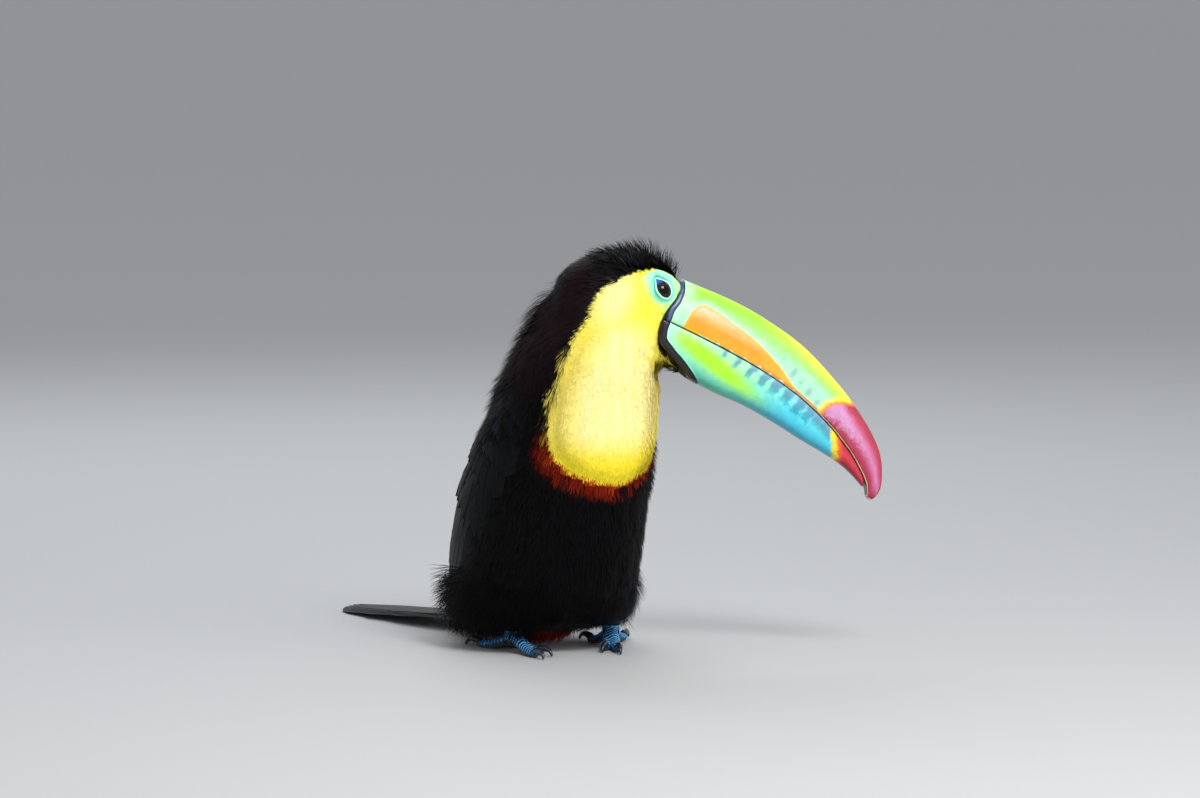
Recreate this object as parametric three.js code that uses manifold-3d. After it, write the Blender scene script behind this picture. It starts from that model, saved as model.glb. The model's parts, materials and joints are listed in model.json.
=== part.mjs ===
// A keel-billed toucan, life size, standing on the floor with its head turned to its left.
// Millimetres, +Z up. The body faces -Y, so the bird's left is +X. Until the last lines, the origin is
// on the floor midway between the feet.
import * as THREE from "three";
import { LoftGeometry } from "three/addons/geometries/LoftGeometry.js";
import { mergeVertices } from "three/addons/utils/BufferGeometryUtils.js";
import Module from "manifold-3d";

const wasm = await Module();
wasm.setup();

const degrees = THREE.MathUtils.degToRad;
const UP = new THREE.Vector3(0, 0, 1);

// ---- Driving dimensions ----

const GAP = 0.3; // between pieces that touch
const FAR = 600; // larger than the bird, for cutting blocks

// The body: rows of [x, y, z, half-width, front half-depth, back half-depth, turn in degrees], from the
// belly up to the head. The neck turns to the left with the head.
const BODY_ROWS = [
  [0, 18, 7, 46.5, 45, 46, 0],
  [0, 18.6, 28, 49.5, 52, 52, 0],
  [0, 9.8, 60, 47, 56, 49, 0],
  [0, 1.6, 92, 45.5, 57, 45, 0],
  [0, -6.6, 118, 43.5, 54, 44, 0],
  [0, -14, 138, 40, 48, 44, 2],
  [2, -24.5, 160, 36.5, 41, 42, 14],
  [5.5, -28, 176, 29, 35.5, 40, 32],
  [7.5, -30, 188, 22, 26, 35, 48],
  [10, -32, 198, 16, 18, 24, 58],
];
const BELLY_EDGE = 0.12; // share of the body's height that rounds in at the belly
const BELLY_SQUARENESS = 3.2; // above a circle's 2, as the thigh feathers fill out the corner
const NECK_TOP_EDGE = 0.1; // share that rounds in at the top, inside the head
const NECK_BASE = { y: -8, z: 132, tilt: degrees(20) }; // the plane between trunk and neck

// The head's own frame: x forward, y to the bird's left, z up, with its origin at the culmen's base.
const CULMEN_BASE = new THREE.Vector3(43, -51, 195);
const HEAD_YAW = degrees(63 - 90); // from +X, so 63 degrees to the left of straight ahead
const HEAD_PITCH = degrees(26); // bill down
const HEAD_ROLL = degrees(-10); // crown away from its right side

// Head sections along its x: [x, top z, bottom z, half-width]. The top is the tips of the crest.
const HEAD_ROWS = [
  [-61, -26, -34, 5],
  [-58, -17, -46, 15],
  [-50, -7, -52, 20],
  [-38, 3, -56, 21.5],
  [-26, 7.5, -54, 20.5],
  [-14, 6.5, -50, 18.5],
  [-4, 3.5, -46, 16.5],
  [6, 0, -44, 14.5],
  [18, -12, -44.5, 12],
  [28, -30, -45, 8],
];
// The line between feathers and bill, in the head's x and z, from above the culmen to below the chin.
const BILL_BASE_LINE = [
  [-1.5, 8],
  [-0.9, -0.6],
  [0, -6.5],
  [-0.6, -13],
  [-2.4, -20],
  [-2.7, -26],
  [-0.9, -32.3],
  [1.2, -37.2],
  [7.8, -40],
  [15, -42.6],
  [26.5, -46.8],
  [34, -50],
];

// The bill, in the head's x and z. Each line runs from inside the head to the tip.
const CULMEN = [
  [-5, 0],
  [27, 1.6],
  [49, 0.2],
  [72.4, -4.2],
  [96.5, -13.8],
  [112, -22],
  [124, -30],
  [132, -37.6],
  [137, -46],
  [139.6, -54],
  [138.6, -61],
];
const UPPER_CUTTING_EDGE = [
  [-5, -24.6],
  [20, -24.6],
  [40, -25.2],
  [60, -26.9],
  [78, -29.8],
  [94, -34.4],
  [106, -39.2],
  [117, -44.8],
  [125.5, -50.4],
  [131.5, -55.6],
  [135, -61.5],
];
const LOWER_CUTTING_EDGE = [
  [-5, -24.8],
  [20, -24.8],
  [40, -25.4],
  [60, -27.1],
  [78, -30.1],
  [94, -34.8],
  [106, -39.7],
  [117, -45.6],
  [125.5, -51.4],
  [130.5, -55.8],
];
const LOWER_KEEL = [
  [-5, -41],
  [20, -44.6],
  [38, -45.8],
  [56, -45.2],
  [73.5, -46.4],
  [90, -48.4],
  [104, -49.6],
  [116, -51.4],
  [125, -54.4],
  [131.2, -57.2],
];
const BILL_BASE_HALF_WIDTH = 15.5;
const BILL_TIP_HALF_WIDTH = 3.2;
const BILL_TAPER = 1.35; // above 1, the width holds longer before it narrows
const BILL_EDGE_SHARE = 0.1; // how far up the section the cutting edge's flat lies
const BILL_FULLNESS = 0.72; // below 1, the sides are flatter than an ellipse's
const LOWER_BILL_SCALE = 0.97; // the lower bill closes inside the upper one

// An eyeball stands a little out of the bare skin round it. Its centre is in the head's frame.
const EYE_RADIUS = 6.3;
const EYE_CENTRE = new THREE.Vector3(-9.7, 11.5, -13.2);

// Folded wings on the body's sides: [distance from the middle, y, z, half-breadth, half-thickness].
const WING_ROWS = [
  [31, -24, 138, 9, 4.5],
  [37, -12, 126, 19, 7.5],
  [40, 8, 104, 27, 8.5],
  [39, 29, 80, 30, 8],
  [31.5, 50, 56, 27, 6.5],
  [21, 69, 38, 19, 5],
  [11.5, 89, 26, 11.5, 3.6],
  [5.5, 108, 18, 5.5, 2],
];
const WING_WRAP = 95; // a wing bends round the body by its breadth squared over this
const WING_AXIS_Y = 30; // the wing's outward side is seen from this far back at most

// Rump: [x, y, z, half-width, half-height above, half-height below].
const RUMP_ROWS = [
  [0, 36, 46, 34, 30, 30],
  [0, 54, 36, 30, 25, 26],
  [0, 70, 25, 25, 16, 19],
  [0, 86, 14.5, 20, 9, 11],
  [0, 100, 9, 16.5, 4.6, 5],
];

// The tail lies back along the floor.
const TAIL_ROOT = { y: 92, z: 8.2 };
const TAIL_LENGTH = 122; // of the middle feathers, from where they leave the rump
const TAIL_ROUNDING = 12; // how much shorter the outer feathers are
const TAIL_DROP = 1.9; // how much lower the outer feathers lie
const TAIL_FEATHERS = 10;
const TAIL_FEATHER_HALF_WIDTH = 11;
const TAIL_FEATHER_THICKNESS = 1.1;
const TAIL_STEP = 1.2; // sideways, from one feather's root to the next
const TAIL_SPREAD = degrees(0.9); // between neighbouring feathers
const TAIL_SLOPE = 0.062; // down to the floor

// Legs and feet, two toes forward and two back on each. A foot's turn is from straight ahead.
const FEET = [
  { name: "left", side: 1, x: 27, y: -6, turn: degrees(-30) },
  { name: "right", side: -1, x: -29, y: 1, turn: degrees(-4) },
];
const LEG_HEIGHT = 30;
const LEG_RADIUS = 4.3;
const LEG_LEAN = 6; // backwards, at its top
const SOLE_HEIGHT = 2.2; // the leg's lower end
const ANKLE_HEIGHT = 8; // where the toes spring from the leg
const TOES = [
  { name: "outer_front", turn: degrees(5), length: 34, radius: 3.1 },
  { name: "inner_front", turn: degrees(-10), length: 26, radius: 2.9 },
  { name: "outer_back", turn: degrees(163), length: 29, radius: 2.9 },
  { name: "inner_back", turn: degrees(-148), length: 23, radius: 2.6 },
];
const TOE_TAPER = 0.22;
const TOE_PRESS = 0.6; // how far a toe's round underside is pressed flat on the floor
const CLAW_LENGTH = 10.5;
const CLAW_RADIUS = 2.1;
const CLAW_TIP_RADIUS = 0.35;

// ---- Colours ----

const finish = (color, roughness) => new THREE.MeshStandardMaterial({ color, roughness, metalness: 0 });
const BLACK_PLUMAGE = finish(0x0c0a0c, 0.8);
const BIB_PLUMAGE = finish(0xf6e21c, 0.85);
const RUMP_PLUMAGE = finish(0x9c1f10, 0.85);
const BILL_GREEN = finish(0x9be04a, 0.35);
const EYE_BROWN = finish(0x140c06, 0.1);
const FOOT_BLUE = finish(0x3f86c4, 0.55);
const CLAW_BLACK = finish(0x141416, 0.3);

// ---- Surfaces ----

// A closed surface through rings, where at(share, angle) gives a point and share runs from 0 to 1.
// The rings are turned round where they would make the faces point inwards.
function loft(steps, around, at) {
  const sections = [];
  for (let i = 0; i <= steps; i++) {
    const ring = [];
    for (let j = 0; j < around; j++) ring.push(at(i / steps, (j / around) * 2 * Math.PI));
    sections.push(ring);
  }
  const middle = sections[Math.floor(steps / 2)];
  const next = sections[Math.floor(steps / 2) + 1];
  const centre = new THREE.Vector3();
  const along = new THREE.Vector3();
  for (let j = 0; j < around; j++) {
    centre.addScaledVector(middle[j], 1 / around);
    along.add(next[j]).sub(middle[j]);
  }
  const spin = new THREE.Vector3();
  for (let j = 0; j < around; j++) {
    const spoke = middle[j].clone().sub(centre);
    const step = middle[(j + 1) % around].clone().sub(middle[j]);
    spin.add(spoke.cross(step));
  }
  if (spin.dot(along) < 0) for (const ring of sections) ring.reverse();
  return new LoftGeometry(sections, { capStart: true, capEnd: true });
}

// Smooth values between rows of numbers, read by a share from 0 to 1.
function between(rows) {
  const curves = [];
  for (let first = 0; first < rows[0].length; first += 3) {
    const points = rows.map((row) => {
      return new THREE.Vector3(row[first], row[first + 1] ?? 0, row[first + 2] ?? 0);
    });
    curves.push(new THREE.CatmullRomCurve3(points, false, "catmullrom"));
  }
  return (share) => curves.flatMap((curve) => curve.getPoint(share).toArray());
}

// How far a rounded end has opened: a small flat at the end itself, and 1 once the share passes edge.
function dome(share, edge, squareness = 2) {
  const smallest = 0.08;
  const inside = Math.max(0, 1 - share / edge);
  return Math.max(smallest, Math.pow(1 - Math.pow(inside, squareness), 1 / squareness));
}

function solid(geometry) {
  const bare = geometry.index ? geometry.toNonIndexed() : geometry.clone();
  bare.deleteAttribute("normal");
  bare.deleteAttribute("uv");
  const merged = mergeVertices(bare, 1e-3);
  const vertProperties = merged.attributes.position.array;
  const triVerts = new Uint32Array(merged.index.array);
  return new wasm.Manifold(new wasm.Mesh({ numProp: 3, vertProperties, triVerts }));
}

// A node holds the main body of a cut piece, without the slivers that a cut can leave beside it.
function addNode(name, cut, material, parent) {
  const [main] = cut.decompose().sort((a, b) => b.volume() - a.volume());
  const made = main.getMesh();
  const geometry = new THREE.BufferGeometry();
  geometry.setAttribute("position", new THREE.BufferAttribute(made.vertProperties, 3));
  geometry.setIndex(new THREE.BufferAttribute(made.triVerts, 1));
  geometry.computeVertexNormals();
  const mesh = new THREE.Mesh(geometry, material);
  mesh.name = name;
  parent.add(mesh);
}

// A block of all that is above a plane through [0, y, z], tilted about the X axis.
function blockAbove({ y, z, tilt }, shift = 0) {
  const block = new THREE.BoxGeometry(FAR, FAR, FAR);
  block.translate(0, 0, FAR / 2 + shift);
  block.rotateX(tilt);
  block.translate(0, y, z);
  return solid(block);
}

const aboveFloor = blockAbove({ y: 0, z: 0, tilt: 0 });

// ---- Head's frame ----

const toucan = new THREE.Group();
const headFrame = new THREE.Group();
headFrame.position.copy(CULMEN_BASE);
headFrame.rotation.set(HEAD_ROLL, HEAD_PITCH, HEAD_YAW, "ZYX");
headFrame.updateMatrix();
toucan.add(headFrame);

const fromHeadFrame = (made) => made.transform(headFrame.matrix.elements);
const headAt = between(HEAD_ROWS);

function headShape(extra) {
  return loft(16, 20, (share, angle) => {
    const [x, top, bottom, halfWidth] = headAt(share);
    const halfHeight = (top - bottom) / 2 + extra;
    return new THREE.Vector3(
      x + extra * (2 * share - 1),
      (halfWidth + extra) * Math.sin(angle),
      (top + bottom) / 2 + halfHeight * Math.cos(angle),
    );
  });
}

// All that is behind the bill's base line, as one block in the head's frame, moved forward by shift.
function behindBillBase(shift) {
  const points = BILL_BASE_LINE.map(([x, z]) => new THREE.Vector2(x + shift, z));
  const outline = new THREE.Shape([
    new THREE.Vector2(-FAR / 2, FAR / 2),
    new THREE.Vector2(points[0].x, FAR / 2),
    ...new THREE.SplineCurve(points).getPoints(11),
    new THREE.Vector2(points.at(-1).x, -FAR / 2),
    new THREE.Vector2(-FAR / 2, -FAR / 2),
  ]);
  const block = new THREE.ExtrudeGeometry(outline, { depth: FAR, bevelEnabled: false });
  block.translate(0, 0, -FAR / 2);
  block.rotateX(Math.PI / 2);
  return solid(block);
}

// ---- Bill ----

// Half of the bill between its flat cutting edge and its rounded culmen or keel.
function billHalf(cuttingEdge, ridge, scale) {
  const toCurve = (points) => new THREE.SplineCurve(points.map(([x, z]) => new THREE.Vector2(x, z)));
  const low = toCurve(cuttingEdge);
  const high = toCurve(ridge);
  return loft(17, 16, (share, angle) => {
    const rise = Math.sin(angle);
    const out = Math.cos(angle);
    const height = BILL_EDGE_SHARE + rise * (rise >= 0 ? 1 - BILL_EDGE_SHARE : BILL_EDGE_SHARE);
    const taper = Math.pow(share, BILL_TAPER);
    const roundTip = Math.sqrt(Math.max(0.02, 1 - Math.pow(share, 14)));
    const halfWidth = THREE.MathUtils.lerp(BILL_BASE_HALF_WIDTH, BILL_TIP_HALF_WIDTH, taper) * roundTip;
    const place = low.getPoint(share).lerp(high.getPoint(share), height);
    const y = Math.sign(out) * Math.pow(Math.abs(out), BILL_FULLNESS) * halfWidth * scale;
    return new THREE.Vector3(place.x, y, place.y);
  });
}

const upToBill = behindBillBase(GAP);
const upperBill = solid(billHalf(UPPER_CUTTING_EDGE, CULMEN, 1)).subtract(upToBill);
const roomForUpperBill = solid(billHalf(UPPER_CUTTING_EDGE, CULMEN, 1.02));
const lowerBill = solid(billHalf(LOWER_CUTTING_EDGE, LOWER_KEEL, LOWER_BILL_SCALE))
  .subtract(upToBill)
  .subtract(roomForUpperBill);
addNode("bill_upper", upperBill, BILL_GREEN, headFrame);
addNode("bill_lower", lowerBill, BILL_GREEN, headFrame);

// ---- Head and eyes ----

let head = solid(headShape(0)).intersect(behindBillBase(0));
let roomForHead = solid(headShape(GAP));
for (const [name, side] of [["eye_left", 1], ["eye_right", -1]]) {
  const ball = (radius) => {
    const sphere = new THREE.SphereGeometry(radius, 12, 8);
    return solid(sphere.translate(EYE_CENTRE.x, EYE_CENTRE.y * side, EYE_CENTRE.z));
  };
  head = head.subtract(ball(EYE_RADIUS + GAP));
  roomForHead = roomForHead.add(ball(EYE_RADIUS + GAP));
  addNode(name, ball(EYE_RADIUS), EYE_BROWN, headFrame);
}
addNode("head", head, BLACK_PLUMAGE, headFrame);
roomForHead = fromHeadFrame(roomForHead);

// ---- Body, wings and rump ----

const bodyAt = between(BODY_ROWS);

function bodyShape(extra) {
  return loft(18, 22, (share, angle) => {
    const [x, y, z, halfWidth, front, back, turn] = bodyAt(share);
    const depth = Math.sin(angle) < 0 ? front : back;
    const open = Math.min(dome(share, BELLY_EDGE, BELLY_SQUARENESS), dome(1 - share, NECK_TOP_EDGE));
    const spoke = new THREE.Vector3(
      (halfWidth + extra) * open * Math.cos(angle),
      (depth + extra) * open * Math.sin(angle),
      extra * (2 * share - 1),
    );
    return spoke.applyAxisAngle(UP, degrees(turn)).add(new THREE.Vector3(x, y, z));
  });
}

const wingAt = between(WING_ROWS);

function wingShape(side, extra) {
  const wingPoint = (share) => new THREE.Vector3(...wingAt(THREE.MathUtils.clamp(share, 0, 1)).slice(0, 3));
  const step = 0.01;
  return loft(14, 12, (share, angle) => {
    const [out, y, z, halfBreadth, halfThickness] = wingAt(share);
    const along = wingPoint(share + step).sub(wingPoint(share - step)).normalize();
    const [, bodyY] = bodyAt(THREE.MathUtils.clamp(z / CULMEN_BASE.z, 0, 1));
    const outward = new THREE.Vector3(out, y - Math.min(bodyY, WING_AXIS_Y), 0).normalize();
    const across = new THREE.Vector3().crossVectors(along, outward).normalize();
    outward.crossVectors(across, along);
    const open = Math.min(dome(share, 0.1), dome(1 - share, 0.12));
    const breadth = (halfBreadth + extra) * open * Math.cos(angle);
    const lift = (halfThickness + extra) * open * Math.sin(angle) - (breadth * breadth) / WING_WRAP;
    const point = new THREE.Vector3(out, y, z);
    point.addScaledVector(across, breadth).addScaledVector(outward, lift);
    return point.setX(point.x * side);
  });
}

const rumpAt = between(RUMP_ROWS);

function rumpShape(extra) {
  return loft(7, 14, (share, angle) => {
    const [x, y, z, halfWidth, above, below] = rumpAt(share);
    const halfHeight = Math.sin(angle) > 0 ? above : below;
    const open = dome(1 - share, 0.15);
    return new THREE.Vector3(
      x + (halfWidth + extra) * open * Math.cos(angle),
      y + extra * (2 * share - 1),
      z + (halfHeight + extra) * open * Math.sin(angle),
    );
  });
}

// Tail feathers lie fanned on each other, the middle pair on top, as one slab with a stepped outline.
function tailShape(extra) {
  const half = TAIL_FEATHER_HALF_WIDTH + extra;
  let slab = null;
  for (let i = 0; i < TAIL_FEATHERS; i++) {
    const fromMiddle = i - (TAIL_FEATHERS - 1) / 2;
    const rank = Math.abs(fromMiddle) / (TAIL_FEATHERS / 2);
    const length = TAIL_LENGTH - TAIL_ROUNDING * rank * rank;
    const shoulder = 0.9 * length;
    const outline = new THREE.Shape();
    outline.moveTo(-0.55 * half, -extra);
    outline.lineTo(0.55 * half, -extra);
    outline.lineTo(half, shoulder);
    outline.quadraticCurveTo(half, length, 0, length + 3 + extra);
    outline.quadraticCurveTo(-half, length, -half, shoulder);
    const depth = TAIL_FEATHER_THICKNESS + 2 * extra;
    const feather = new THREE.ExtrudeGeometry(outline, { depth, bevelEnabled: false, curveSegments: 2 });
    feather.translate(0, 0, -extra);
    feather.rotateZ(-fromMiddle * TAIL_SPREAD);
    feather.rotateX(-TAIL_SLOPE);
    feather.translate(fromMiddle * TAIL_STEP, TAIL_ROOT.y, TAIL_ROOT.z - TAIL_DROP * rank);
    slab = slab ? slab.add(solid(feather)) : solid(feather);
  }
  return slab;
}

const body = solid(bodyShape(0)).subtract(roomForHead);
const roomForWings = [1, -1].map((side) => solid(wingShape(side, GAP)));
const roomForTail = tailShape(GAP);
const withoutWings = (made) => roomForWings.reduce((left, wing) => left.subtract(wing), made);

const upToNeckBase = blockAbove(NECK_BASE, -GAP / 2);
const behindBill = fromHeadFrame(behindBillBase(0));
const neck = body.intersect(blockAbove(NECK_BASE, GAP / 2)).intersect(behindBill);
addNode("neck", withoutWings(neck), BIB_PLUMAGE, toucan);
let trunk = withoutWings(body.subtract(upToNeckBase));

const rump = solid(rumpShape(0)).subtract(solid(bodyShape(GAP))).intersect(aboveFloor).subtract(roomForTail);
addNode("rump", withoutWings(rump), RUMP_PLUMAGE, toucan);
addNode("tail", tailShape(0).intersect(aboveFloor), BLACK_PLUMAGE, toucan);

// The tip of the left wing lies over that of the right one.
const leftWing = solid(wingShape(1, 0)).subtract(roomForTail);
const rightWing = solid(wingShape(-1, 0)).subtract(roomForTail).subtract(roomForWings[0]);
addNode("wing_left", leftWing, BLACK_PLUMAGE, toucan);
addNode("wing_right", rightWing, BLACK_PLUMAGE, toucan);

// ---- Legs and feet, each in a frame that looks along the foot ----

function legShape(extra) {
  return loft(6, 10, (share, angle) => {
    const waist = 1 + 0.12 * Math.cos(share * 2 * Math.PI);
    const radius = (LEG_RADIUS * waist + extra) * dome(share, 0.2);
    return new THREE.Vector3(
      radius * 1.15 * Math.cos(angle) - LEG_LEAN * share * share,
      radius * Math.sin(angle),
      SOLE_HEIGHT + (LEG_HEIGHT - SOLE_HEIGHT) * share + extra * (2 * share - 1),
    );
  });
}

// A tube round a curve in the frame's x and z, with its radius given at each share of its length.
function tube(curve, steps, around, extra, radiusAt) {
  return loft(steps, around, (share, angle) => {
    const centre = curve.getPoint(share);
    const along = curve.getTangent(share);
    const radius = radiusAt(share);
    centre.addScaledVector(along, extra * (2 * share - 1));
    centre.addScaledVector(new THREE.Vector3(-along.z, 0, along.x), radius * Math.cos(angle));
    return centre.setY(radius * Math.sin(angle));
  });
}

function toeShape({ length, radius, turn }, side, extra) {
  const tapered = (share) => radius * (1 - TOE_TAPER * share);
  const spine = new THREE.CatmullRomCurve3([
    new THREE.Vector3(0, 0, ANKLE_HEIGHT),
    new THREE.Vector3(0.3 * length, 0, tapered(0.3) + 2),
    new THREE.Vector3(0.6 * length, 0, tapered(0.6) - TOE_PRESS),
    new THREE.Vector3(length, 0, tapered(1) - TOE_PRESS),
  ]);
  const toe = tube(spine, 8, 8, extra, (share) => {
    const knuckles = 1 + 0.07 * Math.cos(share * 6 * Math.PI);
    return (tapered(share) * knuckles + extra) * dome(1 - share, 0.14);
  });
  return solid(toe.rotateZ(turn * side));
}

function clawShape({ length, radius, turn }, side, extra) {
  const arc = new THREE.QuadraticBezierCurve3(
    new THREE.Vector3(length - 4.5, 0, radius + 0.3),
    new THREE.Vector3(length + 0.55 * CLAW_LENGTH, 0, radius + 3.2),
    new THREE.Vector3(length + CLAW_LENGTH - 3.5, 0, 2 * CLAW_TIP_RADIUS),
  );
  const claw = tube(arc, 5, 6, extra, (share) => {
    return THREE.MathUtils.lerp(CLAW_RADIUS, CLAW_TIP_RADIUS, share) + extra;
  });
  return solid(claw.rotateZ(turn * side));
}

for (const { name, side, x, y, turn } of FEET) {
  const foot = new THREE.Group();
  foot.position.set(x, y, 0);
  foot.rotation.z = turn - Math.PI / 2;
  foot.updateMatrix();
  toucan.add(foot);
  const roomForLeg = solid(legShape(GAP));
  addNode(`leg_${name}`, solid(legShape(0)), FOOT_BLUE, foot);
  let taken = roomForLeg;
  for (const toe of TOES) {
    const claw = clawShape(toe, side, 0).intersect(aboveFloor);
    const bare = toeShape(toe, side, 0).intersect(aboveFloor);
    const made = bare.subtract(clawShape(toe, side, GAP)).subtract(taken);
    taken = taken.add(toeShape(toe, side, GAP));
    addNode(`toe_${name}_${toe.name}`, made, FOOT_BLUE, foot);
    addNode(`claw_${name}_${toe.name}`, claw, CLAW_BLACK, foot);
  }
  trunk = trunk.subtract(taken.transform(foot.matrix.elements));
}
addNode("trunk", trunk, BLACK_PLUMAGE, toucan);

// The origin moves to the middle of the bird's box, on the floor.
const box = new THREE.Box3().setFromObject(toucan, true);
toucan.position.set(-(box.min.x + box.max.x) / 2, -(box.min.y + box.max.y) / 2, -box.min.z);

export default toucan;
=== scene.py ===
"""A keel-billed toucan, life size, standing still with its head turned to its left.

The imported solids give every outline. One skin replaces those of flesh, and the coat, bill, eyes,
claws and tail feathers are made round it. Metres, +Z up, the bird's front to -Y.
"""

import json
import math

import bpy
import numpy as np
from mathutils import Euler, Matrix, Vector, bvhtree, kdtree

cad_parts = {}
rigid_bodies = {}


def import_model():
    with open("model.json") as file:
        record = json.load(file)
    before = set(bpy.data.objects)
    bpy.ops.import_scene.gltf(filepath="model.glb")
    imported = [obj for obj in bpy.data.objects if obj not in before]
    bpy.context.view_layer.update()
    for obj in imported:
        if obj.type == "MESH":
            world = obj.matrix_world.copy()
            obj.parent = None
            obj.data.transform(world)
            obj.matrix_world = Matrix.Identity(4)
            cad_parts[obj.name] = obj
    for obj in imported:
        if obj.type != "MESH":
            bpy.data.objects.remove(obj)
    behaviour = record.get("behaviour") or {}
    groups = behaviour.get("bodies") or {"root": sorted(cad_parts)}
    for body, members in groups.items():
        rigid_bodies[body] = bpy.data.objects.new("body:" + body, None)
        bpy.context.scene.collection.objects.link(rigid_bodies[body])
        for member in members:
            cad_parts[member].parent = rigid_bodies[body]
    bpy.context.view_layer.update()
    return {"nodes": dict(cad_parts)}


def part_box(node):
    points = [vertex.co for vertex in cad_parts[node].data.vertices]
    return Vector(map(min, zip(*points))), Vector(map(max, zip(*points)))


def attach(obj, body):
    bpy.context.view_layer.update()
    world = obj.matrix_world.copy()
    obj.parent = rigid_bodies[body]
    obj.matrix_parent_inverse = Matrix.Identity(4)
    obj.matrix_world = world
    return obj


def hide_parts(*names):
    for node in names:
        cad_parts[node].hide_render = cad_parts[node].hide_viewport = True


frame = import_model()
MM = 0.001


# ---- Camera, lights and floor ----
# A long lens a little above the bird's feet, to its right of straight ahead. Three soft panels and
# a pale room light it, and it stands on a plain pale floor.

tail_low, tail_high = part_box("tail")
FEET_TO_TAIL = 92 * MM  # how far the tail's root lies behind the middle of the feet
FEET_MIDDLE = Vector(((tail_low.x + tail_high.x) / 2, tail_low.y - FEET_TO_TAIL, 0))
CAMERA_AZIMUTH = math.radians(-32)
CAMERA_ELEVATION = math.radians(5)
CAMERA_DISTANCE = 3.5
CAMERA_WIDTH = 0.6316  # what the frame's long side takes in at that distance

towards_camera = Vector((
    math.sin(CAMERA_AZIMUTH) * math.cos(CAMERA_ELEVATION),
    -math.cos(CAMERA_AZIMUTH) * math.cos(CAMERA_ELEVATION),
    math.sin(CAMERA_ELEVATION),
))
camera_right = Vector((math.cos(CAMERA_AZIMUTH), math.sin(CAMERA_AZIMUTH), 0))
camera_up = towards_camera.cross(camera_right)
CAMERA_AIM = (20 * MM, 131 * MM)  # from the middle of the feet, right and up in the frame
looked_at = FEET_MIDDLE + CAMERA_AIM[0] * camera_right + CAMERA_AIM[1] * camera_up

camera_data = bpy.data.cameras.new("camera")
camera_data.sensor_width = 36
camera_data.lens = camera_data.sensor_width * CAMERA_DISTANCE / CAMERA_WIDTH
camera_data.clip_end = 100
camera = bpy.data.objects.new("camera", camera_data)
camera.location = looked_at + CAMERA_DISTANCE * towards_camera
camera.rotation_mode = "QUATERNION"
camera.rotation_quaternion = (-towards_camera).to_track_quat("-Z", "Y")
bpy.context.collection.objects.link(camera)
bpy.context.scene.camera = camera
bpy.context.scene.view_settings.view_transform = "Standard"


def soft_panel(name, azimuth, elevation, distance, size, watts, tint):
    """A square area light that faces the bird, from an azimuth and elevation in degrees."""
    a, e = math.radians(azimuth), math.radians(elevation)
    away = Vector((math.sin(a) * math.cos(e), -math.cos(a) * math.cos(e), math.sin(e)))
    light = bpy.data.lights.new(name, "AREA")
    light.size = size
    light.energy = watts
    light.color = tint
    panel = bpy.data.objects.new(name, light)
    panel.location = looked_at + distance * away
    panel.rotation_mode = "QUATERNION"
    panel.rotation_quaternion = (-away).to_track_quat("-Z", "Y")
    bpy.context.collection.objects.link(panel)
    return panel


soft_panel("key", -10, 44, 1.5, 0.5, 17, (1.0, 1.0, 0.98))
fill = soft_panel("fill", 14, 7, 1.8, 1.8, 28, (1.0, 0.99, 0.97))
fill.visible_glossy = False
soft_panel("rim", 160, 40, 1.6, 1.0, 9, (0.95, 0.98, 1.0))


def new_material(name):
    """A material whose tree holds only its Principled BSDF and output, and that shader."""
    material = bpy.data.materials.new(name)
    material.use_nodes = True
    return material, material.node_tree, material.node_tree.nodes["Principled BSDF"]


def node(tree, kind, **settings):
    """A new node. Settings named in lower case are its own, and a dict under inputs sets its sockets."""
    made = tree.nodes.new(kind)
    for socket, value in settings.pop("inputs", {}).items():
        made.inputs[socket].default_value = value
    for key, value in settings.items():
        setattr(made, key, value)
    return made


# The room lights the bird as a pale one would, and shows darker behind it.
room = bpy.data.worlds.new("room")
room.use_nodes = True
seen = node(room.node_tree, "ShaderNodeLightPath")
backdrop = node(room.node_tree, "ShaderNodeMix", data_type="RGBA")
backdrop.inputs["A"].default_value = (0.93, 0.95, 1.0, 1)
backdrop.inputs["B"].default_value = (0.44, 0.45, 0.465, 1)
room.node_tree.links.new(seen.outputs["Is Camera Ray"], backdrop.inputs["Factor"])
background = room.node_tree.nodes["Background"]
room.node_tree.links.new(backdrop.outputs["Result"], background.inputs["Color"])
background.inputs["Strength"].default_value = 0.65
bpy.context.scene.world = room

bpy.ops.object.select_all(action="DESELECT")
bpy.ops.mesh.primitive_circle_add(vertices=96, radius=40, fill_type="NGON", location=(0, 0, 0))
floor = bpy.context.object
floor.name = "floor"
floor_paint, tree, shader = new_material("pale_floor")
shader.inputs["Roughness"].default_value = 0.75
speckle = node(tree, "ShaderNodeTexNoise", inputs={"Scale": 9.0, "Detail": 6.0})
tones = node(tree, "ShaderNodeMix", data_type="RGBA")
tones.inputs["A"].default_value = (0.38, 0.39, 0.40, 1)
tones.inputs["B"].default_value = (0.43, 0.43, 0.43, 1)
tree.links.new(speckle.outputs["Fac"], tones.inputs["Factor"])
tree.links.new(tones.outputs["Result"], shader.inputs["Base Color"])
floor.data.materials.append(floor_paint)


# ---- Skin ----
# The bird's hide, over all of its body and down to the toes, drawn from the solids of flesh. It
# lies inside them by the depth of the coat, which grows out of it, and carries the same markings.

FLESH = ["trunk", "neck", "head", "rump", "wing_left", "wing_right"]
SKIN_VOXEL = 1.35 * MM
HEAD_ORIGIN = FEET_MIDDLE + Vector((43, -51, 195)) * MM
HEAD_TURN = Euler([math.radians(a) for a in (-10, 26, -27)], "XYZ").to_matrix()
head_axes = np.array(HEAD_TURN)

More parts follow.
